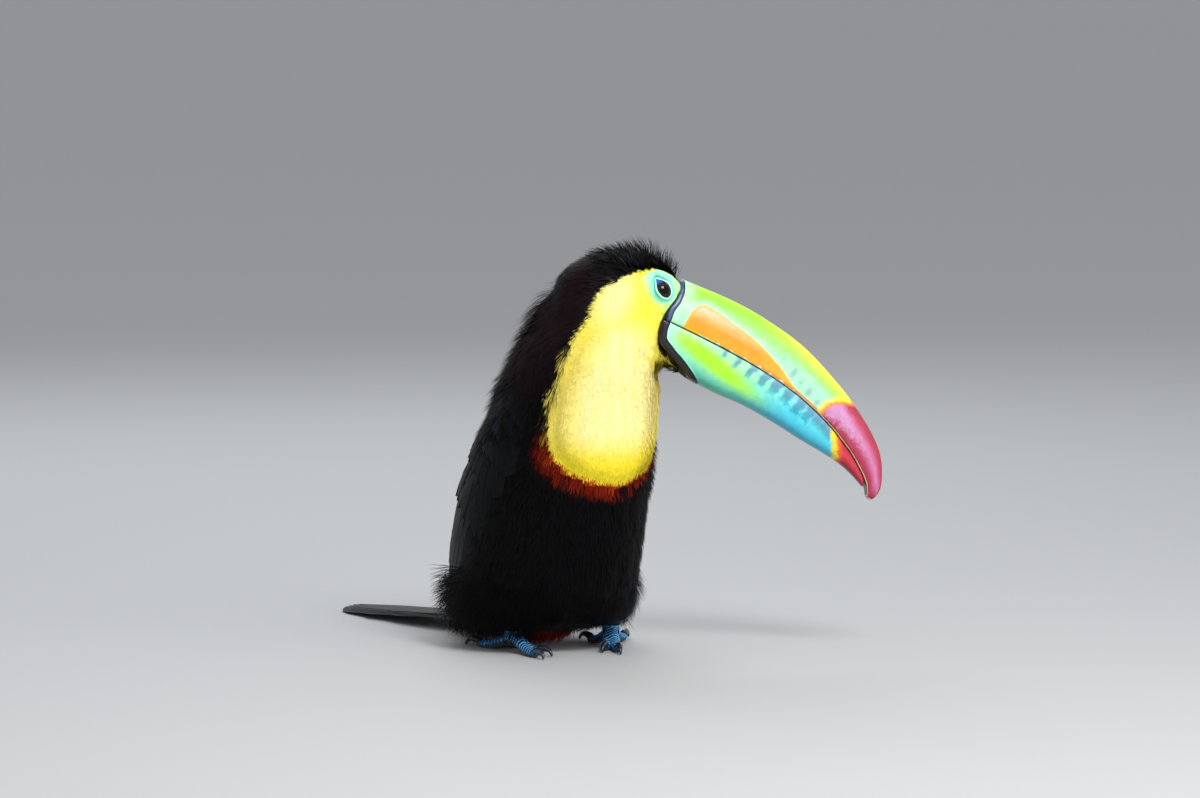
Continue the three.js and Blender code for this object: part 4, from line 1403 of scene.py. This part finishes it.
def grow(name, places, away, look, chance, unwrap, slot):
    """One mesh of soft feathers on these roots.

    look holds one number, or one for each root, of these: length, width (of a barb) and lift (of
    the tips) in mm, fan (spread of the barbs), stray (of the whole feather) and tilt (out from the
    skin) in degrees, and loose (0 follows the skin, 1 goes straight). It holds one number of
    these: barbs, steps (along each), sway (how much tilt varies), splay (stray of the barbs, in
    degrees), rough and ragged (how much feathers and barbs vary in lift), sheen (how much normals
    vary), uneven (how much light varies) and tinted_at (which step gives the colour). shading is
    the light from root to tip. colour gives a colour for each place, and dark keeps it no lighter
    than at the root.
    """
    count, barbs, steps = len(places), look["barbs"], look.get("steps", 3)

    def full(key, start):
        return np.broadcast_to(np.asarray(look.get(key, start), float), (count,))

    length = full("length", 8) * chance.uniform(0.82, 1.18, count) * MM
    width, lift = full("width", 0.5) * MM, full("lift", 2) * MM
    fan = np.radians(full("fan", 14))
    sway = look.get("sway", 0.35)
    tilt = np.radians(full("tilt", 0)) * chance.uniform(1 - sway, 1 + sway, count)
    course = skin_lie[nearest_skin(places)]
    across = unit(np.cross(away, course))
    stray = np.radians(full("stray", 8)) * chance.normal(size=count)
    course = unit(course * np.cos(stray)[:, None] + across * np.sin(stray)[:, None])
    spine, ways, outs = follow(places, away, course, length * np.cos(tilt), steps, full("loose", 0))
    sides = unit(np.cross(outs, ways))

    along = np.arange(steps + 1) / steps
    barb = (np.arange(barbs) + 0.5) / barbs * 2 - 1
    reach = 1 - 0.3 * barb ** 2 + chance.uniform(-0.12, 0.06, (count, barbs))
    station = along[None, None, :] * reach[:, :, None] * steps
    low = np.minimum(station.astype(int), steps - 1)
    part = (station - low)[..., None]
    row = np.arange(count)[:, None, None]
    centre = spine[row, low] * (1 - part) + spine[row, low + 1] * part
    out = unit(outs[row, low] * (1 - part) + outs[row, low + 1] * part)
    side = unit(sides[row, low] * (1 - part) + sides[row, low + 1] * part)
    share = along[None, None, :]
    splay = np.radians(look.get("splay", 4))
    angle = fan[:, None] * barb[None, :] + splay * chance.normal(size=(count, barbs))
    off = length[:, None, None] * share ** 1.2 * np.tan(angle)[:, :, None]
    off = off + width[:, None, None] * 0.8 * barb[None, :, None] * (barbs - 1) * 0.5
    rise = (lift * chance.uniform(1 - look.get("rough", 0.45), 1.05, count))[:, None, None]
    rise = rise * (share ** 0.7) * (1 - 0.25 * np.abs(barb)[None, :, None])
    rise = rise + (length * np.sin(tilt))[:, None, None] * share
    ragged = look.get("ragged", 0.2) * MM * chance.normal(size=(count, barbs, 1)) * share
    rise = rise - ROOT_DEPTH + ragged
    centre = centre + side * off[..., None] + out * rise[..., None]
    taper = np.interp(along, [0, 0.3, 0.65, 1], [0.7, 1.0, 0.8, 0.06])
    half = 0.5 * width[:, None, None] * taper * chance.uniform(0.7, 1.3, (count, barbs, 1))
    half = side * half[..., None]
    points = np.stack([centre - half, centre + half], axis=3)
    points[..., 2] = np.maximum(points[..., 2], FLOOR_GAP)
    turned = out + side * (look.get("sheen", 0.2) * chance.normal(size=(count, barbs, 1, 1)))
    facings = np.repeat(unit(turned)[:, :, :, None, :], 2, axis=3)

    tones = look["colour"](roots[nearest_skin(spine[:, look.get("tinted_at", -1)])], chance)
    if look.get("dark"):
        tones = np.minimum(tones, look["colour"](places, chance))
    light = np.interp(along, [0, 0.5, 1], look.get("shading", [0.55, 0.9, 1.1]))
    uneven = look.get("uneven", 0.05)
    blade = chance.uniform(1 - uneven, 1 + uneven, (count, barbs, 1, 1, 1))
    blade = blade * chance.uniform(1 - uneven, 1 + uneven, (count, 1, 1, 1, 1))
    tones = tones[:, None, None, None, :] * light[None, None, :, None, None] * blade
    first = np.broadcast_to((np.arange(barbs) + 0.1) / barbs, (count, barbs))
    uv = patches(unwrap(places), first, first + 0.8 / barbs, steps + 1, 2)
    shape = (count * barbs, steps + 1, 2)
    tones = np.broadcast_to(tones, points.shape).reshape(shape + (3,))
    return sheets(
        name, points.reshape(shape + (3,)), facings.reshape(shape + (3,)), tones,
        uv.reshape(shape + (2,)), feather_paints[slot],
    )


# A feather's colour comes from the skin it lies on, and varies a little over its barbs. The black
# ones are the smoothest. Each kind is (name, how strongly it shines, lowest and highest roughness).
feather_paints = {}
FEATHER_GLOSS = [("black", 0.07, 0.42, 0.62), ("yellow", 0.15, 0.7, 0.9), ("red", 0.15, 0.6, 0.8)]
for slot, gloss, low, high in FEATHER_GLOSS:
    paint, tree, shader = new_material("feather_" + slot)
    down = noise(tree, 700.0, 3.0)
    downy = ramp_of(tree, down, [(0.3, "EEEDED"), (0.7, "FFFFFF")])
    tree.links.new(multiplied(tree, painted(tree), downy), shader.inputs["Base Color"])
    vary_gloss(tree, shader, down, low, high)
    shader.inputs["Specular IOR Level"].default_value = gloss
    feather_paints["plumage_" + slot] = paint


def skin_tones(places, chance):
    """The markings at each place, with ragged borders."""
    number = nearest_skin(places)
    return markings(places, facing[number], chance.normal(size=len(places)) * 0.6)


def round_body(low, high):
    """An unwrap of the body's skin: angle round the spine, and height between low and high in mm."""
    def unwrap(points):
        body = in_body(points)
        across, back = off_spine(body)
        angle = np.arctan2(across, -back) / (2 * math.pi) + 0.5
        return np.stack([0.01 + 0.98 * angle, 0.01 + 0.98 * (body[:, 2] - low) / (high - low)], axis=1)
    return unwrap


def round_head(points):
    """An unwrap of the head's skin: angle round the bill's line, and distance along it."""
    head = in_head(points)
    angle = np.arctan2(head[:, 1], head[:, 2] + 24) / (2 * math.pi) + 0.5
    return np.stack([0.01 + 0.98 * angle, 0.01 + 0.98 * np.clip((head[:, 0] + 65) / 110, 0, 1)], axis=1)


# A folded wing's middle line and half-breadth, in the body's mm, on the bird's left.
WING = np.array([
    [31, -24, 138, 9], [37, -12, 126, 19], [40, 8, 104, 27], [39, 29, 80, 30], [31.5, 50, 56, 27],
    [21, 69, 38, 19], [11.5, 89, 26, 11.5], [5.5, 108, 18, 5.5],
])


def along_wing(row):
    """The wing's place and half-breadth at this row of its middle line, or between two rows."""
    return [np.interp(row, range(len(WING)), column) for column in WING.T]


def inside_wing(body):
    """How far inside the outline of a folded wing each point lies, in mm."""
    best = np.full(len(body), -99.0)
    for row in np.linspace(0, len(WING) - 1, 71):
        x, y, z, half = along_wing(row)
        gap = (np.abs(body[:, 0]) - x) ** 2 + (body[:, 1] - y) ** 2 + (body[:, 2] - z) ** 2
        best = np.maximum(best, half - np.sqrt(np.maximum(gap - 50, 0)))
    return best


# Where each kind of feather grows: a weight from 0 to 1 for each vertex of the skin.
skin_bare = inside_bare(skin_head)
skin_on_head = ease(skin_head[:, 2], -62, -50) * ease(skin_body[:, 2], 150, 160)
skin_wing = inside_wing(skin_body)
over_edge = 1.1 + 0.8 * ease(skin_head[:, 0], -10, -14)
covered = (skin_bare < over_edge) & (skin_head[:, 0] < base_x(skin_head[:, 2]) - 0.5)
covered = covered | (skin_on_head < 0.5)
yellow = ease(skin_bib, 0.5, 1.5)
rear = skin_body[:, 1]
undertail = ease(inside_undertail(skin_body, facing), 0.5, 1.5)
uppertail = ease(inside_uppertail(skin_body, facing), 0.5, 1.5)
black = (1 - yellow) * covered * (1 - undertail) * (1 - uppertail)
on_wing = ease(skin_wing, 2, 6) * ease(skin_body[:, 2], 116, 104)

# The face: short, close feathers, longer further from the eye.
chance = np.random.default_rng(21)
places, away = sow(covered * yellow * (skin_on_head > 0.5), 1.45, chance)
head = in_head(places)
near = np.clip(np.hypot(head[:, 0] + 8, head[:, 2] + 14) / 40, 0, 1)
grow("coat_face", places, away, {
    "length": 2.4 + 3.4 * near, "width": 0.5, "barbs": 5, "fan": 13, "lift": 0.6 + 0.7 * near,
    "stray": 6, "colour": skin_tones, "shading": [1.0, 1.0, 1.0], "rough": 0.06, "sheen": 0.04,
    "ragged": 0.05,
}, chance, round_head, "plumage_yellow")

# The bib: soft yellow feathers from the throat down over the breast.
places, away = sow(yellow * (skin_on_head <= 0.5), 1.0, chance)
grow("coat_bib", places, away, {
    "length": 7.5, "width": 0.75, "barbs": 5, "fan": 11, "stray": 5, "rough": 0.06,
    "lift": 0.9 + 2.2 * ease(in_body(places)[:, 0], 14, 27) + 0.6 * ease(in_body(places)[:, 2], 125, 150),
    "colour": skin_tones, "shading": [1.0, 1.0, 1.0], "sheen": 0.04, "ragged": 0.03,
}, chance, round_body(70, 210), "plumage_yellow")

# The throat: a few longer, looser ones behind the chin.
throat = ease(skin_head[:, 2], -36, -41) * ease(skin_head[:, 2], -58, -50)
throat = throat * ease(skin_head[:, 0], -8, -2) * covered * yellow * (skin_on_head > 0.3)
places, away = sow(throat, 0.3, chance)
grow("coat_throat", places, away, {
    "length": 8.5, "width": 0.6, "barbs": 6, "fan": 9, "lift": 1.0, "stray": 7, "tilt": 6,
    "loose": 0.35, "colour": skin_tones, "shading": [1.0, 1.0, 1.0], "sheen": 0.05, "ragged": 0.05,
}, chance, round_head, "plumage_yellow")

# The crown and the back of the head: black, and fuller towards the top.
clear = (skin_bare < -0.3) | (skin_on_head < 0.5)
places, away = sow(black * (skin_on_head > 0.5) * clear, 1.0, chance)
grow("coat_crown", places, away, {
    "length": 7.5, "width": 0.5, "barbs": 5, "fan": 9, "stray": 9, "uneven": 0.2, "dark": True,
    "lift": 1.0 + 3.8 * ease(in_head(places)[:, 2], -34, -20), "colour": skin_tones,
}, chance, round_head, "plumage_black")


# The crest: stiff, narrow plumes that stand nearly straight up in front and lean back behind, with
# a blue-grey glint on a few of them.
def crest_tones(places, chance):
    glint = 0.35 * np.clip(chance.normal(size=len(places)) - 1.3, 0, 1)
    return mix(np.tile(BLACK, (len(places), 1)), CREST_GLINT, glint)


on_crown = ease(skin_head[:, 0], -46, -40) * ease(skin_head[:, 2], -13, -7)
on_crown = on_crown * covered * (1 - yellow) * clear
places, away = sow(on_crown * (facing @ head_axes[:, 2] > 0.2), 0.42, chance)
forward = in_head(places)[:, 0]
back = ease(forward, -16, -42)
grow("coat_crest", places, away, {
    "length": 8.4 + 2.4 * ease(forward, -3, -12) - 0.6 * back, "width": 0.7, "barbs": 3, "fan": -4.0,
    "lift": 1.0, "stray": 5, "tilt": 66 - 37 * back, "loose": 0.7, "uneven": 0.3, "colour": crest_tones,
    "steps": 4, "sheen": 0.5, "rough": 0.2, "splay": 1, "sway": 0.15,
}, chance, round_head, "plumage_black")

# The nape: long, loose, hair-like plumes that hang over the back.
places, away = sow(black * (skin_on_head <= 0.5) * (skin_body[:, 2] > 118), 0.85, chance)
grow("coat_nape", places, away, {
    "length": 11, "width": 0.5, "barbs": 5, "fan": 9, "lift": 5.4, "stray": 9, "uneven": 0.25,
    "colour": skin_tones, "dark": True,
}, chance, round_body(110, 215), "plumage_black")
shaggy = ease(rear, -20, 0) * ease(skin_body[:, 2], 128, 145) * (skin_bib < -9)
places, away = sow(shaggy, 0.3, chance)
grow("coat_nape_plumes", places, away, {
    "length": 13, "width": 0.45, "barbs": 4, "fan": -1.5, "lift": 4.5, "stray": 12, "uneven": 0.3,
    "tilt": 15, "loose": 0.25, "colour": skin_tones, "dark": True, "steps": 4, "sheen": 0.5,
}, chance, round_body(110, 215), "plumage_black")

# The breast and belly in two halves, with longer feathers further from the bib, and the back.
body_black = black * (skin_body[:, 2] <= 118) * (1 - on_wing)
for name, half in (("coat_breast_left", 1), ("coat_breast_right", -1)):
    places, away = sow(body_black * (rear < 26) * (half * skin_body[:, 0] > 0), 0.42, chance)
    grow(name, places, away, {
        "length": 7 + 5 * ease(inside_bib(places), -8, -20), "width": 0.85, "barbs": 5, "fan": 13,
        "lift": 4.0 + 2.0 * ease(in_body(places)[:, 0], 16, 28) * ease(in_body(places)[:, 2], 82, 96),
        "stray": 7, "uneven": 0.2, "colour": skin_tones, "tinted_at": 2,
    }, chance, round_body(0, 120), "plumage_black")

places, away = sow(body_black * (rear >= 26) * ease(rear, 98, 90), 0.42, chance)
grow("coat_back", places, away, {
    "length": 12, "width": 0.85, "barbs": 5, "fan": 13, "lift": 4.0, "stray": 7, "uneven": 0.2,
    "colour": skin_tones,
}, chance, round_body(0, 120), "plumage_black")

# Loose, thin down that hangs round the belly's lower edge and off the flanks.
low_edge = ease(skin_body[:, 2], 36, 22) * ease(facing[:, 2], 0.35, 0.1) * black
low_edge = low_edge * ease(rear, 42, 26)
places, away = sow(low_edge, 0.26, chance)
grow("coat_flank_down", places, away, {
    "length": 13, "width": 0.3, "barbs": 7, "fan": 17, "lift": 2.0, "stray": 22, "uneven": 0.25,
    "tilt": 20, "loose": 0.5, "colour": skin_tones, "steps": 4,
}, chance, round_body(0, 120), "plumage_black")
tufted = ease(np.abs(skin_body[:, 0]), 22, 30)
tufted = tufted * ease(skin_body[:, 2], 46, 34) * ease(skin_body[:, 2], 12, 18)
places, away = sow(tufted * black * ease(rear, 60, 46) * (1 - 0.6 * on_wing), 0.15, chance)
right = in_body(places)[:, 0] < 0
grow("coat_flank_tufts", places, away, {
    "length": 12 + 4 * right, "width": 0.26, "barbs": 9, "fan": 22, "lift": 2.0, "stray": 20,
    "uneven": 0.25, "tilt": 26 + 13 * right, "loose": 0.8, "colour": skin_tones, "steps": 4,
}, chance, round_body(0, 120), "plumage_black")

# The red feathers under the rear of the body, and the white ones over the tail's root.
places, away = sow(undertail * (rear < 104), 0.42, chance)
hung = ease(in_body(places)[:, 1], 70, 30)
grow("coat_undertail", places, away, {
    "length": 13 + 3 * hung, "width": 0.6, "barbs": 5, "fan": 14, "lift": 2.6, "stray": 8,
    "uneven": 0.12, "tilt": 30 * hung, "loose": 0.5 * hung, "colour": skin_tones,
}, chance, round_body(0, 120), "plumage_red")
places, away = sow(uppertail * (1 - undertail) * ease(rear, 108, 100), 0.42, chance)
grow("coat_uppertail", places, away, {
    "length": 12, "width": 0.9, "barbs": 5, "fan": 9, "lift": 1.4, "stray": 6, "uneven": 0.06,
    "rough": 0.2, "colour": skin_tones, "tinted_at": 0,
    "loose": 0.8 * ease(in_body(places)[:, 1], 86, 98),
}, chance, round_body(0, 120), "plumage_red")


# ---- Wings and tail ----
# Flat vanes on stiff shafts, black with a faint gloss: rows of coverts over the roots of the long
# flight feathers of each folded wing, which lie one on the next, and ten broad tail feathers.

VANE_ROWS, VANE_COLUMNS = 15, 9


def vanes(name, spine, ways, outs, look, chance, flat):
    """One mesh of vanes along these middle lines.

    look holds, for each vane: length and half (its half-breadth) in mm, start and end (how high
    its root and tip lie), roll (how much its left edge is the higher), point (how pointed) and
    arch.
    """
    count, stations = spine.shape[:2]
    share = np.linspace(0, 1, VANE_ROWS)
    low = np.minimum((share * (stations - 1)).astype(int), stations - 2)
    part = (share * (stations - 1) - low)[None, :, None]
    centre, way, out = (v[:, low] * (1 - part) + v[:, low + 1] * part for v in (spine, ways, outs))
    side = unit(np.cross(out, way))
    across = np.linspace(-1, 1, VANE_COLUMNS)

    def full(key):
        return np.asarray(look[key], float)[:, None]

    near_root = 0.45 + 0.55 * ease(share, 0, 0.3)[None, :]
    rounded = (1 - np.clip((share - 0.5) / 0.5, 0, 1) ** (2.8 - 1.2 * full("point"))) ** 0.6
    half = full("half") * MM * near_root * np.maximum(rounded, 0.03)
    ragged = 1 + 0.05 * chance.normal(size=(count, VANE_ROWS, 1)) * (np.abs(across) > 0.9)
    off = half[:, :, None] * across * ragged
    rise = full("start") + (full("end") - full("start")) * share ** 0.8
    rise = rise[:, :, None] + full("roll")[:, :, None] * across
    rise = rise - full("arch")[:, :, None] * across ** 2 + 0.14 * (np.abs(across) < 0.1)
    points = centre[:, :, None] + side[:, :, None] * off[..., None]
    points = points + out[:, :, None] * rise[..., None] * MM
    curl = np.broadcast_to(0.25 * across, off.shape)
    facings = unit(out[:, :, None] + side[:, :, None] * curl[..., None])
    tones = np.asarray(look["tone"])[:, None, None, :] * chance.uniform(0.8, 1.2, (count, 1, 1, 1))
    tones = np.broadcast_to(tones, points.shape)
    none = np.zeros((count, 1))
    uv = patches(flat, none, none + 1, VANE_ROWS, VANE_COLUMNS)[:, 0]
    piece = sheets(name, points, facings, tones, uv, vane_paint)
    run = np.broadcast_to((share * full("length"))[:, :, None], off.shape)
    store(piece, "run", run.ravel())
    store(piece, "shaft", (off / MM).ravel())
    return piece


vane_paint, tree, shader = new_material("vane")
wear_and_edge_highlight = noise(tree, 300.0, 4.0)
from_shaft = math_node(tree, "ABSOLUTE", attribute(tree, "shaft"))
barb_line = less(tree, attribute(tree, "run"), from_shaft)
barb_line = plus(tree, barb_line, times(tree, wear_and_edge_highlight, 0.8))
barb_line = math_node(tree, "SINE", times(tree, barb_line, 8.0))
quill = less(tree, 1.0, between_marks(tree, from_shaft, 0.1, 0.45))
lined = ramp_of(tree, between_marks(tree, barb_line, -1.0, 1.0), [(0, "AAAAAC"), (1, "FFFFFF")])
tree.links.new(multiplied(tree, painted(tree), lined), shader.inputs["Base Color"])
relief = plus(tree, barb_line, times(tree, quill, 3.0))
dent(tree, shader, relief, 0.5, 0.12)
vary_gloss(tree, shader, wear_and_edge_highlight, 0.38, 0.55)
shader.inputs["Specular IOR Level"].default_value = 0.11

# The vanes of a wing by tract: [how many along it, first and last place along its middle line,
# across it from below to above, how many across, length, half-breadth, height of root and of tip,
# how pointed], in mm.
TRACTS = [
    (1, 3.5, 3.5, 0.8, -0.2, 8, 76, 5.2, 0.4, 1.4, 1.0),
    (1, 2.9, 2.9, 0.75, -0.95, 11, 56, 6.6, 0.9, 2.2, 0.4),
    (1, 2.1, 2.1, 0.82, -0.9, 10, 30, 6.2, 1.3, 3.0, 0.1),
    (2, 1.1, 1.6, 0.84, -0.88, 10, 20, 5.0, 1.7, 3.6, 0.0),
    (3, 0.1, 0.8, 0.8, -0.85, 9, 14, 4.0, 2.2, 4.0, 0.0),
]
VANE_GLOSS = linear("07090D")
LONG_VANE = 40  # mm, and vanes longer than this get shorter from below to above
WING_DEPTH = 7  # mm outward from a wing's middle line to where the roots of its vanes are sought

for side, label in ((1, "left"), (-1, "right")):
    chance = np.random.default_rng(51)
    spots, numbers = [], []
    for rows, first, last, front, back_edge, columns, length, half, start, end, point in TRACTS:
        for row in range(rows):
            for column in range(columns):
                along = first + (last - first) * row / max(rows - 1, 1)
                across = front + (back_edge - front) * (column + 0.5 * (row % 2)) / (columns - 0.5)
                x, y, z, breadth = along_wing(along)
                run = WING[min(int(along) + 1, len(WING) - 1), :3] - WING[int(along), :3]
                axis_y = min(np.interp(z, SPINE[:, 0], SPINE[:, 2]), 30)
                outward = unit(np.array((x, y - axis_y, 0)))
                wide = unit(np.cross(unit(run), outward))
                spot = np.array((x, y, z)) + wide * across * breadth + outward * WING_DEPTH
                spots.append(spot * (side, 1, 1))
                shorter = 1 - 0.22 * (column / (columns - 1) if length > LONG_VANE else 0)
                numbers.append((length * shorter, half, start, end, 0.35 * side, point))
    numbers = np.array(numbers) * chance.uniform(0.94, 1.06, (len(numbers), 1)) ** ([1, 1, 0, 0, 0, 0])
    seeds = from_body(spots)
    number = nearest_skin(seeds)
    away = facing[number]
    places = seeds - away * np.sum((seeds - roots[number]) * away, axis=1, keepdims=True)
    close = np.zeros(len(places))
    spine, _, outs = follow(places, away, skin_lie[number], numbers[:, 0] * MM, 14, close)
    for _ in range(6):
        spine[:, 1:-1] = (spine[:, :-2] + 2 * spine[:, 1:-1] + spine[:, 2:]) / 4
        outs[:, 1:-1] = unit(outs[:, :-2] + 2 * outs[:, 1:-1] + outs[:, 2:])
    ways = unit(np.gradient(spine, axis=1))
    # Vanes near the bend of the wing get the same painted blue sheen.
    shoulder = from_body(np.array(SHOULDER) * (side, 1, 1))
    blue = 0.35 * ease(np.linalg.norm(places - shoulder, axis=1), 10 * MM, 2 * MM)
    vanes("wing_feathers_" + label, spine, ways, outs, {
        "length": numbers[:, 0], "half": numbers[:, 1], "start": numbers[:, 2],
        "end": numbers[:, 3], "roll": numbers[:, 4], "point": numbers[:, 5],
        "arch": 0.12 * numbers[:, 1],
        "tone": mix(np.tile(VANE_GLOSS, (len(places), 1)), SHOULDER_SHEEN, blue),
    }, chance, round_body(0, 150)(places))

# The tail: its middle feathers lie uppermost, and it slopes down to the floor. Sizes in mm.
TAIL_FEATHERS = 10
TAIL_STATIONS = 8  # along each feather
TAIL_LENGTH = 122
TAIL_ROOT_Y, TAIL_ROOT_Z = 92, 8.2
TAIL_SLOPE = 0.062
TAIL_LOWEST = 0.9
rank = np.arange(TAIL_FEATHERS) - (TAIL_FEATHERS - 1) / 2
outer = np.abs(rank) / (TAIL_FEATHERS / 2)
length = TAIL_LENGTH + 8 - 12 * outer ** 2
turn = np.radians(0.9) * rank
every = np.ones(TAIL_FEATHERS)
course = np.stack([np.sin(turn), np.cos(turn), -TAIL_SLOPE * every], axis=1)
root = np.stack([1.2 * rank, (TAIL_ROOT_Y - 5) * every, TAIL_ROOT_Z + 1.4 - 1.9 * outer], axis=1)
steps = np.linspace(0, 1, TAIL_STATIONS)[None, :, None]
spine = root[:, None] + course[:, None] * length[:, None, None] * steps
spine[..., 2] = np.maximum(spine[..., 2], TAIL_LOWEST)
spine = from_body(spine)
ways = np.repeat(unit(course)[:, None], TAIL_STATIONS, axis=1)
outs = np.tile(np.array((0, TAIL_SLOPE, 1.0)), (TAIL_FEATHERS, TAIL_STATIONS, 1))
flat = np.stack([0.05 + 0.09 * np.arange(TAIL_FEATHERS), 0.5 * every], axis=1)
tail = vanes("tail_feathers", spine, ways, outs, {
    "length": length, "half": 11.5 * every, "start": 0 * every, "end": 0 * every,
    "roll": -0.25 * np.sign(rank), "point": 0 * every, "arch": 0.5 * every,
    "tone": np.tile(VANE_GLOSS, (TAIL_FEATHERS, 1)),
}, np.random.default_rng(61), flat)
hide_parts("tail")
